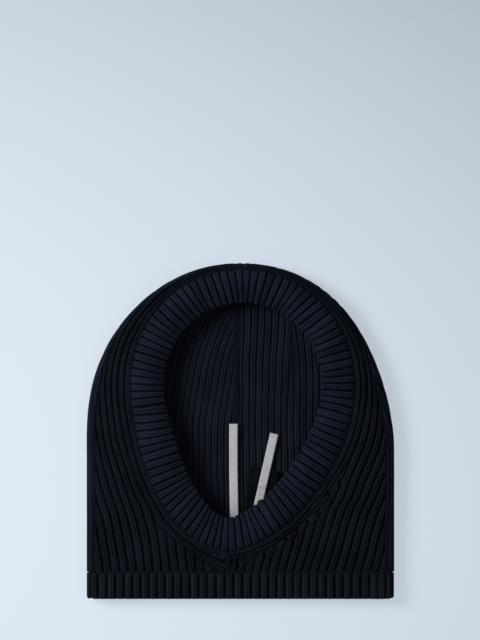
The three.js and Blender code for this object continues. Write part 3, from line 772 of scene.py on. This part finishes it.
def front_grid(side):
    """Points of one half of the front, and how far along its row each of them is."""
    edge, end = front_half(side)
    share = np.linspace(0, 1, FRONT_RIBS[side] * SAMPLES)[None, :]
    y0 = edge[:, 1]
    rolled = np.minimum(seam_angle(y0) + slot_angle(y0, SLOT * 0.6), np.pi / 2)
    inset = fold_depth(y0) * (1 - np.cos(rolled))
    width = np.linalg.norm(end - edge, axis=1)
    begin = np.clip(inset / width, 0, 0.9)[:, None]
    along = begin + (1 - begin) * share
    x = mix(edge[:, 0][:, None], end[:, 0][:, None], along)
    y = mix(edge[:, 1][:, None], end[:, 1][:, None], along)
    lift = (EDGE_LIFT - fold_lift(y)) * np.sin(share * np.pi / 2) * smoothstep(y, PANEL_Y, BAND_LOW.y + 1)
    z = fold_top(x, y) + lift
    return np.stack([x, y, z], axis=2), along


def loop_size(x, y, half, up, down, round_up, round_down):
    """1 on an egg-shaped loop, less inside it and more outside."""
    high = y >= OPEN_Y
    power = np.where(high, round_up, round_down)
    rise = np.abs(y - OPEN_Y) / np.where(high, up, down)
    lean = np.where(high, 0, CHIN_SHIFT * np.minimum(rise, 1) ** 2.5) - sway(y)
    return ((np.abs(x + lean) / half) ** power + rise**power) ** (1 / power)


def loop_gap(x, y, half, up, down, round_up, round_down):
    """Distance outside an egg-shaped loop, below 0 inside it."""
    here, right, above = (
        loop_size(x + dx, y + dy, half, up, down, round_up, round_down)
        for dx, dy in ((0, 0), (0.1, 0), (0, 0.1))
    )
    return 0.1 * (here - 1) / np.hypot(right - here, above - here)


def border_share(x, y, side):
    """0 at the plain border's outer edge, 1 at the band, below 0 outside the border."""
    grow = 11 * (1 - 0.5 * smoothstep(y, 60, 139))
    if side > 0:
        grow = mix(grow, 8, smoothstep(-y, 10, 50))
    gap_in = loop_gap(x, y, BAND_HALF, BAND_UP, BAND_DOWN, BAND_ROUND_UP, BAND_ROUND_DOWN)
    gap_out = grow - gap_in
    if side < 0:
        # near the chin the left border runs straight down to the hem
        from_x, from_y = BORDER_FROM
        to_x, to_y = BORDER_TO
        length = math.hypot(to_x - from_x, to_y - from_y)
        straight = ((y - from_y) * (to_x - from_x) - (x - from_x) * (to_y - from_y)) / length
        gap_out = mix(gap_out, straight, smoothstep(-y, 66, 84))
    return gap_out / np.maximum(gap_in + gap_out, 1e-3)


def low_phase(x, y, side):
    """Rib count from the silhouette near the hem, where the ribs stand nearly upright."""
    rise = np.clip((y - PANEL_Y) / (-60 - PANEL_Y), 0, 1.3)
    if side < 0:
        rise = 0.5 * rise * rise + 0.5 * rise
    start = mix(131.6, 145.7 if side < 0 else 150, rise)
    pitch = mix(7.16, 7.5 if side < 0 else 7.3, rise)
    return (side * x * -1 + start) / pitch


def front_phase(base, along, side):
    x, y = base[..., 0], base[..., 1]
    border = border_share(x, y, side)
    # share of the way from the silhouette to the border's outer edge, along each row
    outside = border < 0
    count = outside.sum(axis=1)
    limit = np.array([along[k, max(c - 1, 0)] for k, c in enumerate(count)])[:, None]
    share = np.clip(along / np.maximum(limit, 1e-3), 0, 1)
    y_edge = base[:, :1, 1]
    if side < 0:
        run_off = np.interp(y_edge, [-60, -42, 37, 100, TOP_Y], [1.7, 2.2, 4.6, 7.2, 9.0])
        ends = np.full_like(y_edge, 9.0)
    else:
        run_off = np.interp(y_edge, [-60, -42, -20, 5, 37, 100, TOP_Y], [2.7, 3.7, 4.8, 5.7, 6.5, 8.2, 9.9])
        ends = np.interp(y_edge, [-60, -42, -20], [11.4, 10.6, 10.0])
    high = mix(run_off, np.maximum(ends, run_off + 0.05), share)
    phase = mix(low_phase(x, y, side), high, smoothstep(y, -72, -54))
    plain = 10 + 2 * np.clip(border, 0, 1)
    return np.where(outside, phase + 0.14 * drift(x, y), plain), border


def front_panel(height):
    halves = []
    for side in (-1, 1):
        base, along = front_grid(side)
        phase, border = front_phase(base, along, side)
        x, y = base[..., 0], base[..., 1]
        # the right border is puckered where its stitches were picked up
        pucker = np.exp(-(((border + 0.1) / 0.75) ** 2)) * smoothstep(-y, 26, 50) * (side > 0)
        base[..., 2] += pucker * 0.85 * np.sin(x / 1.25 + y / 2.3) * np.sin(y / 1.7 - x / 3.1)
        phase = phase + 0.22 * pucker * np.sin(x / 1.9 - y / 1.5)
        edge_line = np.exp(-((border / 0.12) ** 2))
        base[..., 2] += 0.4 * drift(x * 1.4, y * 1.4) * smoothstep(along, 0.02, 0.2)
        halves.append((base, phase, height * (1 - 0.25 * pucker), edge_line))
    left, right = halves
    # the left half has fewer columns: its points are interpolated, its other values picked
    pick = np.linspace(0, left[0].shape[1] - 1, right[0].shape[1])
    low, part = np.floor(pick).astype(int), pick - np.floor(pick)
    high = np.minimum(low + 1, left[0].shape[1] - 1)
    points = left[0][:, low] * (1 - part)[None, :, None] + left[0][:, high] * part[None, :, None]
    left = [points] + [values[:, np.rint(pick).astype(int)] for values in left[1:]]
    base, phase, deep, edge_line = (np.concatenate([a, b[::-1][1:]]) for a, b in zip(left, right))
    normal = surface_normals(base)
    normal *= np.sign(normal[..., 2:3] + 1e-9)
    wall = np.minimum(FRONT_WALL, 0.75 * fold_depth(base[..., 1]))
    crest = rib_profile(phase) * np.minimum(uneven(phase), 1.05) * (1 - 0.7 * edge_line)
    outer = base - normal * (deep * (1 - crest))[..., None]
    inner = base - normal * (wall - 0.8 * height * (1 - rib_profile(phase + 0.5)))[..., None]
    wool = finish_named("worsted_front_knit")
    piece = cloth("front_panel_knit", outer, inner, phase, travel(base) / COURSE, wool)
    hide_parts("front_panel")


def band_skew(shares):
    """How much further round a rib meets the lip than it leaves the outer edge."""
    left = np.interp(
        shares,
        [0, 0.1, 0.19, 0.3, 0.35, 0.51, 0.59, 0.68, 0.76, 0.85, 0.93, 1],
        [0, -0.01, -0.015, -0.012, -0.004, -0.005, 0.013, 0.035, 0.04, 0.025, 0.02, 0],
    )
    right = np.interp(
        -shares,
        [0, 0.1, 0.2, 0.3, 0.36, 0.43, 0.51, 0.59, 0.66, 0.8, 0.9, 1],
        [0, -0.012, -0.02, -0.022, -0.018, -0.022, -0.014, -0.016, -0.005, 0.012, 0.02, 0],
    )
    return np.where(shares > 0, left, -right)


def band_wall(part):
    """Middle height and half thickness of the folded band, from its outer edge to its lip."""
    middle = mix(BAND_EDGE_MID, BAND_LIP_MID, part) + BAND_BULGE * 4 * part * (1 - part)
    return middle, mix(BAND_EDGE_THICK, BAND_LIP_THICK, min(part * 1.6, 1)) / 2


def face_band(height):
    shares = np.linspace(-0.9985, 0.9985, BAND_RIBS * SAMPLES + 1)
    out_x, out_y = by_length(lambda a: band_edge(a, 0.5), shares)
    lip_x, lip_y = by_length(lip_edge, shares + band_skew(shares))
    width = np.hypot(out_x - lip_x, out_y - lip_y)
    lip_half = BAND_LIP_THICK / 2
    wall = width - lip_half
    rows = []
    for part in np.linspace(0, 1, BAND_WALL_ROWS):
        middle, half = band_wall(part)
        rows.append((part * wall, middle + half - 1.5 * math.exp(-part / 0.05)))
    for turn in np.linspace(math.pi / 2, -math.pi / 2, BAND_ROLL_ROWS + 2)[1:-1]:
        rows.append((wall + lip_half * math.cos(turn), BAND_LIP_MID + lip_half * math.sin(turn)))
    for part in np.linspace(1, 0, BAND_WALL_ROWS):
        middle, half = band_wall(part)
        rows.append((part * wall, middle - half))
    base = np.zeros((len(rows), len(shares), 3))
    for k, (distance, z) in enumerate(rows):
        part = distance / width
        base[k, :, 0] = mix(out_x, lip_x, part)
        base[k, :, 1] = mix(out_y, lip_y, part)
        base[k, :, 2] = z
    # the ribs wander and rise a little between the band's two edges
    swell = np.sin(np.linspace(0, np.pi, len(rows)))[:, None]
    wander = 0.2 * np.sin(shares * 41) + 0.16 * np.sin(shares * 17 + 1) + 0.08 * np.sin(shares * 90)
    phase = ((shares + 1) / 2 * BAND_RIBS)[None, :] + wander[None, :] * swell
    base[..., 2] += 0.35 * np.sin(shares * 29 + 0.7)[None, :] * swell
    normal = surface_normals(base)
    if normal[2, 0, 2] < 0:
        normal = -normal
    crest = rib_profile(phase) * uneven(phase)
    outer = base - normal * (height * (1 - np.minimum(crest, 1.05)))[..., None]
    inner = base - normal * (BAND_WALL - 0.5 * height * (1 - rib_profile(phase + 0.5)))[..., None]
    wool = finish_named("worsted_band_knit")
    piece = cloth("face_band_knit", outer, inner, phase, travel(base) / COURSE, wool)
    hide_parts("face_band")


def hem_band(height):
    radius = HEM_LIFT / 2
    reach = HALF_WIDTH - radius
    flat, arc = 2 * reach, math.pi * radius
    total = 2 * flat + 2 * arc
    along = np.linspace(0.3, total - 0.3, HEM_RIBS * SAMPLES + 1)
    start = reach - HEM_JOIN_X
    where = (along - start) % total
    ends = [0, arc, arc + flat, 2 * arc + flat, total]
    middle = np.interp(where, ends, [reach, reach, -reach, -reach, reach])
    turn = np.interp(where, ends, np.array([0.5, -0.5, -0.5, -1.5, -1.5]) * np.pi)
    x, z = middle + radius * np.cos(turn), radius * (1 + np.sin(turn))
    heights = np.linspace(HEM_HIGH.y + HEM_TUCK, HEM_LOW.y + 1.2, 12)
    base = np.zeros((len(heights), len(along), 3))
    base[..., 0], base[..., 2] = x[None, :], z[None, :]
    base[..., 1] = heights[:, None]
    pull = smoothstep(heights, HEM_LOW.y + 3.5, HEM_LOW.y)[:, None]
    base[..., 0] *= 1 - 0.006 * pull
    phase = np.repeat((along / total * HEM_RIBS)[None, :], len(heights), axis=0)
    phase = phase + 0.12 * np.sin(along / 19)[None, :]
    normal = surface_normals(base)
    probe = np.argmin(np.abs(along - start - 2 * arc - flat - reach))
    if normal[5, probe, 2] < 0:
        normal = -normal
    tuck = 0.9 * pull
    ribs = np.abs(np.sin(np.pi * phase)) ** 0.85 * np.minimum(uneven(phase), 1.05)
    outer = base - normal * (height * (1 - ribs) + tuck)[..., None]
    outer[..., 2] = np.maximum(outer[..., 2], 0)
    inner = base - normal * (HEM_WALL - 0.7 * height * (1 - rib_profile(phase + 0.5)) - tuck)[..., None]
    outer[..., 1] += np.where(pull > 0.5, 0.5 * (1 - ribs), 0)
    wool = finish_named("worsted_hem_knit")
    piece = cloth("hem_band_knit", outer, inner, phase, travel(base) / COURSE, wool)
    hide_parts("hem_band")


# ---------------------------------------------------------------- seams


def outline_line(count):
    """The side and crown seam's own line and the cloth's outward direction on it."""
    t = np.linspace(-1, 1, count)
    along = 1 - np.abs(t)
    straight = 0.4
    angle = np.clip((along - straight) / (1 - straight), 0, 1) * np.pi / 2
    rise = np.sin(angle) ** (2 / CROWN_ROUND)
    half = HALF_WIDTH * np.maximum(np.cos(angle), 0) ** (2 / CROWN_ROUND)
    crown_y = SHOULDER_Y + CROWN_RISE * rise
    y = np.where(along < straight, mix(PANEL_Y, SHOULDER_Y, along / straight), crown_y)
    x = crown_centre((y - SHOULDER_Y) / CROWN_RISE) + np.sign(t) * half
    _, out_x, out_y = inside_outline(x + np.where(t == 0, 1e-6, 0), y)
    turn = seam_angle(y)
    inset = fold_depth(y) * (1 - np.cos(turn))
    z = fold_lift(y) / 2 * (1 + np.sin(turn))
    line = np.stack([x - out_x * inset, y - out_y * inset, z], axis=1)
    up = np.stack([out_x * np.cos(turn), out_y * np.cos(turn), np.sin(turn)], axis=1)
    return line, up


def linking(name, line, up, node, sink=0.9, pitch=3.0, width=0.42, lift=0.3, radius=0.5):
    """A row of linking stitches that stands for a seam's plain yarn."""
    line = np.asarray(line) - up * sink
    paths = chain_paths(line, up, pitch, width, lift)
    piece = strands(name, paths, radius, "hood", finish_named("plied_linking_yarn"))
    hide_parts(node)


def upward(line):
    """Straight up, for each point of a line."""
    return np.repeat([[0.0, 0.0, 1.0]], len(line), axis=0)


def standing_line(x, y, z):
    """A line that runs up the hood at one x."""
    return np.stack([np.full_like(y, x), y, z], axis=1)


def hem_ring():
    """The hem seam's own line round the neck and the cloth's outward direction on it."""
    low, high = extent("hem_seam")
    radius = (high.z - low.z - YARN) / 2
    reach = high.x - radius - YARN / 2
    count = 16
    right = np.linspace(np.pi / 2, -np.pi / 2, count)
    turn = np.concatenate([right[:1], right, right - np.pi, right[:1]])
    middle = np.repeat([HEM_JOIN_X + 0.5, reach, -reach, HEM_JOIN_X - 0.5], [1, count, count, 1])
    x = middle + radius * np.cos(turn)
    z = (low.z + high.z) / 2 + radius * np.sin(turn)
    line = np.stack([x, np.full_like(x, (low.y + high.y) / 2), z], axis=1)
    up = np.stack([np.cos(turn), np.zeros_like(x), np.sin(turn)], axis=1)
    length = lengths_along(line)
    even = np.linspace(0, length[-1], 600)
    return at_lengths(even, length, line), at_lengths(even, length, up)


def seams():
    line, up = outline_line(401)
    linking("side_and_crown_linking", line, up, "side_and_crown_seam", sink=1.7, width=0.35, radius=0.42)
    shares = np.linspace(-0.985, 0.985, 400)
    x, y = by_length(lambda angle: band_edge(angle, SLOT / 2), shares)
    line = np.stack([x, y, np.full_like(x, EDGE_LIFT)], axis=1)
    linking("face_band_linking", line, upward(line), "face_band_seam", sink=1.3)
    rise = np.linspace(0, 1, 30)
    low, high = CHIN_JOIN
    z = HEM_LIFT + 6 * np.sin(rise * np.pi / 2)
    line = standing_line(CHIN_X, mix(low.y + 0.6, high.y - 0.4, rise), z)
    linking("chin_linking", line, upward(line), "chin_seam", sink=0.9)
    low, high = extent("face_band_join")
    z = np.interp(rise, [0, 0.25, 0.6, 1], [low.z + YARN - 0.2, high.z - 1.4, high.z - 0.2, high.z - 1])
    line = standing_line(CHIN_X, mix(low.y + 0.6, high.y - 0.6, rise), z)
    linking("face_band_join_stitches", line, upward(line), "face_band_join", sink=1.6)
    low, high = HEM_JOIN
    y = np.linspace(high.y - 0.5, low.y + 0.8, 20)
    line = standing_line(HEM_JOIN_X, y, np.full_like(y, HEM_LIFT))
    linking("hem_band_join_stitches", line, upward(line), "hem_band_join", sink=1.6)
    line, up = hem_ring()
    linking("hem_linking", line, up, "hem_seam", sink=0.1, pitch=3.6, width=0.85)


# ---------------------------------------------------------------- tapes and label


def strip(name, centre, width, thick, material, curl=None, columns=8, begin=0.0):
    """A ribbon along a list of points, with its own map across and along. It rides on nothing
    yet, and begin is how far along the ribbon it starts."""
    centre = np.asarray(centre, float)
    along = np.gradient(centre, axis=0)
    plan = along[:, :2] / np.linalg.norm(along[:, :2], axis=1, keepdims=True)
    right = np.stack([plan[:, 1], -plan[:, 0], np.zeros(len(plan))], axis=1)
    across = np.linspace(-0.5, 0.5, columns)
    base = centre[:, None, :] + right[:, None, :] * (across * width)[None, :, None]
    if curl:
        base = curl(base)
    normal = surface_normals(base)
    normal *= np.sign(normal[..., 2:3].sum())
    phase = np.repeat((across + 0.5)[None, :], len(centre), axis=0)
    course = (travel(base) + begin) / TWILL_STEP
    return cloth(name, base + normal * thick, base, phase, course, material, body=None)


def end_middle(node, high):
    """Middle of a leaning strip's upper or lower end, from its CAD node's corners."""
    points = np.array([vertex.co for vertex in frame["nodes"][node].data.vertices]) / MM
    upward_key = points[:, 1] * (1 if high else -1)
    corners = [points[np.argmax(upward_key + side * 0.35 * points[:, 0])] for side in (-1, 1)]
    return (corners[0] + corners[1]) / 2


def hinge_of(joint_name):
    """A joint's place and axis, in millimetres."""
    joint = next(joint for joint in frame["joints"] if joint["name"] == joint_name)
    return np.array(joint["pos_m"]) / MM, np.array(joint["axis"])


def bend_at(piece):
    """Bakes a ribbon's placement into its mesh; it does not bend it."""
    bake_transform(piece)


def long_tape():
    top, foot = end_middle("long_tape_end", True), end_middle("long_tape_root", False)
    hinge = hinge_of("long_tape_lift")[0]
    y = np.linspace(foot[1], top[1], 70)
    free = np.clip((y - hinge[1]) / (top[1] - hinge[1]), 0, 1)
    x = mix(foot[0] + 0.9, top[0] + 0.3, free) - 0.3 * np.sin(np.pi * free)
    ripple = 0.35 * np.sin(free * 9) * smoothstep(free, 0.1, 0.4)
    z = LONG_ROOT[0].z + 0.1 + 1.8 * smoothstep(free, 0.1, 1) + ripple
    line = np.stack([x, y, z], axis=1)
    tape = finish_named("herringbone_cotton_tape")
    piece = strip("long_tape", line, TAPE_WIDTH, TAPE_THICK, tape)
    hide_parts("long_tape_root", "long_tape_end")
    bend_at(piece)


def label_curl(base):
    """Curls a ribbon's upper right corner up and over."""
    outwards = np.array([0.72, 0.69, 0])
    begin, roll = 8, 5.5  # how far before the corner it begins, and the curl's radius
    past = np.maximum((base - base[-1, -1]) @ outwards + begin, 0)
    turned = base + (roll * np.sin(past / roll) - past)[..., None] * outwards
    turned[..., 2] += roll * (1 - np.cos(past / roll))
    return turned


def care_label():
    top, foot = end_middle("care_label_end", True), end_middle("care_label_root", False)
    share = np.linspace(0, 1, 72)[:, None]
    line = mix(foot, top, share)
    line[:, 2] = foot[2] + 0.1 * np.sin(share[:, 0] * 25)
    width = 2 * (foot[0] - min(v.co.x for v in frame["nodes"]["care_label_root"].data.vertices) / MM)
    satin = finish_named("polyester_satin_label")
    piece = strip("care_label", line, width, LABEL_THICK, satin, label_curl, 28)
    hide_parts("care_label_root", "care_label_end")
    bend_at(piece)


def short_tape():
    top, foot = end_middle("short_tape_end", True), end_middle("short_tape_root", False)
    tape_hinge = hinge_of("short_tape_lift")[0]
    length = np.linalg.norm(top - foot)
    along = (top - foot) / length
    cut = (tape_hinge - foot) @ along + 6.5
    shares = np.linspace(0, length, 90)
    line = foot + shares[:, None] * along + np.array([SHORT_TAPE_SHIFT, 0, 0])
    free = np.clip((shares - cut) / (length - cut), 0, 1)
    line[:, 2] = foot[2] + (1.5 + 0.3 * np.sin(free * 8)) * free**2
    meeting = foot + cut * along + np.array([SHORT_TAPE_SHIFT, 0, 0])
    fixed = np.concatenate([line[shares < cut - 0.5], [meeting]])
    loose = np.concatenate([[meeting], line[shares > cut + 0.5]])
    tape = finish_named("herringbone_cotton_tape")
    piece = strip("short_tape_sewn_end", fixed, TAPE_WIDTH, TAPE_THICK, tape)
    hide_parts("short_tape_root")
    bend_at(piece)
    piece = strip("short_tape_free_end", loose, TAPE_WIDTH, TAPE_THICK, tape, begin=cut)
    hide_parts("short_tape_end")
    bend_at(piece)


def sewn_stitches():
    """A running stitch that holds the tapes and the label down."""
    low, high = STITCHING
    radius = (high.z - low.z) / 2
    step = 3.2
    paths = []
    for x in np.arange(low.x + 0.8, high.x - 2, step):
        run = np.linspace(0, 1, 6)
        dip = 0.6 * np.exp(-((np.minimum(run, 1 - run) / 0.1) ** 2))
        arch = low.z + radius + 0.15 * np.sin(np.pi * run) - dip
        paths.append(np.stack([x + 2.1 * run, np.full(6, (low.y + high.y) / 2), arch], axis=1))
    yarn = finish_named("plied_linking_yarn")
    piece = strands("label_running_stitch", paths, radius, "hood", yarn)
    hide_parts("label_stitching")


# ---------------------------------------------------------------- operators


class BALACLAVA_OT_back(bpy.types.Operator):
    """Knit the back panel, with its turn-ups and the crown's two narrowing lines"""

    bl_idname = "balaclava.back"
    bl_label = "Back panel"

    def execute(self, context):
        back_panel(context.scene.balaclava_knit.rib_height / MM)
        narrowing_stitches()
        return {"FINISHED"}


class BALACLAVA_OT_front(bpy.types.Operator):
    """Knit the horseshoe-shaped front, with its plain border round the face band"""

    bl_idname = "balaclava.front"
    bl_label = "Front panel"

    def execute(self, context):
        front_panel(context.scene.balaclava_knit.rib_height / MM)
        return {"FINISHED"}


class BALACLAVA_OT_band(bpy.types.Operator):
    """Knit the doubled band round the face opening"""

    bl_idname = "balaclava.band"
    bl_label = "Face band"

    def execute(self, context):
        face_band(context.scene.balaclava_knit.band_rib_height / MM)
        return {"FINISHED"}


class BALACLAVA_OT_hem(bpy.types.Operator):
    """Knit the hem band round the neck"""

    bl_idname = "balaclava.hem"
    bl_label = "Hem band"

    def execute(self, context):
        hem_band(context.scene.balaclava_knit.rib_height / MM)
        return {"FINISHED"}


class BALACLAVA_OT_seams(bpy.types.Operator):
    """Link the panels and bands with rows of stitches"""

    bl_idname = "balaclava.seams"
    bl_label = "Seams"

    def execute(self, context):
        seams()
        return {"FINISHED"}


class BALACLAVA_OT_tapes(bpy.types.Operator):
    """Sew in the two woven tapes and the care label"""

    bl_idname = "balaclava.tapes"
    bl_label = "Tapes and label"

    def execute(self, context):
        long_tape()
        care_label()
        short_tape()
        sewn_stitches()
        return {"FINISHED"}


class BALACLAVA_OT_stage(bpy.types.Operator):
    """Set the floor, the soft light and the camera"""

    bl_idname = "balaclava.stage"
    bl_label = "Stage"

    def execute(self, context):
        scene = context.scene
        scene.view_settings.view_transform = "Standard"
        bm = bmesh.new()
        bmesh.ops.create_grid(bm, x_segments=8, y_segments=8, size=6)
        bmesh.ops.translate(bm, verts=bm.verts, vec=(0, 0, -0.0002))
        mesh = bpy.data.meshes.new("floor")
        bm.to_mesh(mesh)
        bm.free()
        floor = bpy.data.objects.new("floor", mesh)
        # the floor's emission is painted light that stands in for the studio light
        mesh.materials.append(finish_named("painted_light_floor"))
        scene.collection.objects.link(floor)
        world = bpy.data.worlds.new("studio")
        world.use_nodes = True
        world.node_tree.nodes["Background"].inputs["Color"].default_value = linear("e4ecf5")
        world.node_tree.nodes["Background"].inputs["Strength"].default_value = 0.4
        scene.world = world
        for name, place, size, power, colour in (
            ("key_light", (-1.3, 0.45, 1.2), 0.8, 38, "f8faff"),
            ("fill_light", (1.2, -0.2, 1.6), 1.6, 4, "f0f6ff"),
        ):
            light = bpy.data.lights.new(name, "AREA")
            light.shape = "DISK"
            light.size = size
            light.energy = power
            light.color = linear(colour)[:3]
            lamp = bpy.data.objects.new(name, light)
            lamp.location = place
            aim = Vector((0, 0.02, 0)) - Vector(place)
            lamp.rotation_euler = aim.to_track_quat("-Z", "Y").to_euler()
            scene.collection.objects.link(lamp)
        camera = bpy.data.cameras.new("camera")
        camera.sensor_fit = "VERTICAL"
        camera.angle = 2 * math.atan(VIEW_HALF / CAMERA_PLACE[2])
        viewer = bpy.data.objects.new("camera", camera)
        viewer.location = CAMERA_PLACE
        scene.collection.objects.link(viewer)
        scene.camera = viewer
        return {"FINISHED"}


class BALACLAVA_PT_pieces(bpy.types.Panel):
    """The balaclava's sizes, colours and pieces"""

    bl_idname = "BALACLAVA_PT_pieces"
    bl_label = "Balaclava"
    bl_space_type = "VIEW_3D"
    bl_region_type = "UI"
    bl_category = "Balaclava"

    def draw(self, context):
        layout = self.layout
        for group in (context.scene.balaclava_knit, context.scene.balaclava_colours):
            for key in group.__annotations__:
                layout.prop(group, key)
        for operator in OPERATORS:
            layout.operator(operator.bl_idname)


OPERATORS = (
    BALACLAVA_OT_stage,
    BALACLAVA_OT_back,
    BALACLAVA_OT_front,
    BALACLAVA_OT_band,
    BALACLAVA_OT_hem,
    BALACLAVA_OT_seams,
    BALACLAVA_OT_tapes,
)
CLASSES = (BalaclavaKnit, BalaclavaColours, *OPERATORS, BALACLAVA_PT_pieces)


def register():
    for one in CLASSES:
        bpy.utils.register_class(one)
    bpy.types.Scene.balaclava_knit = bpy.props.PointerProperty(type=BalaclavaKnit)
    bpy.types.Scene.balaclava_colours = bpy.props.PointerProperty(type=BalaclavaColours)


def unregister():
    del bpy.types.Scene.balaclava_colours
    del bpy.types.Scene.balaclava_knit
    for one in reversed(CLASSES):
        bpy.utils.unregister_class(one)


def main():
    register()
    bpy.ops.balaclava.stage()
    bpy.ops.balaclava.back()
    bpy.ops.balaclava.front()
    bpy.ops.balaclava.band()
    bpy.ops.balaclava.hem()
    bpy.ops.balaclava.seams()
    bpy.ops.balaclava.tapes()


if __name__ == "__main__":
    main()
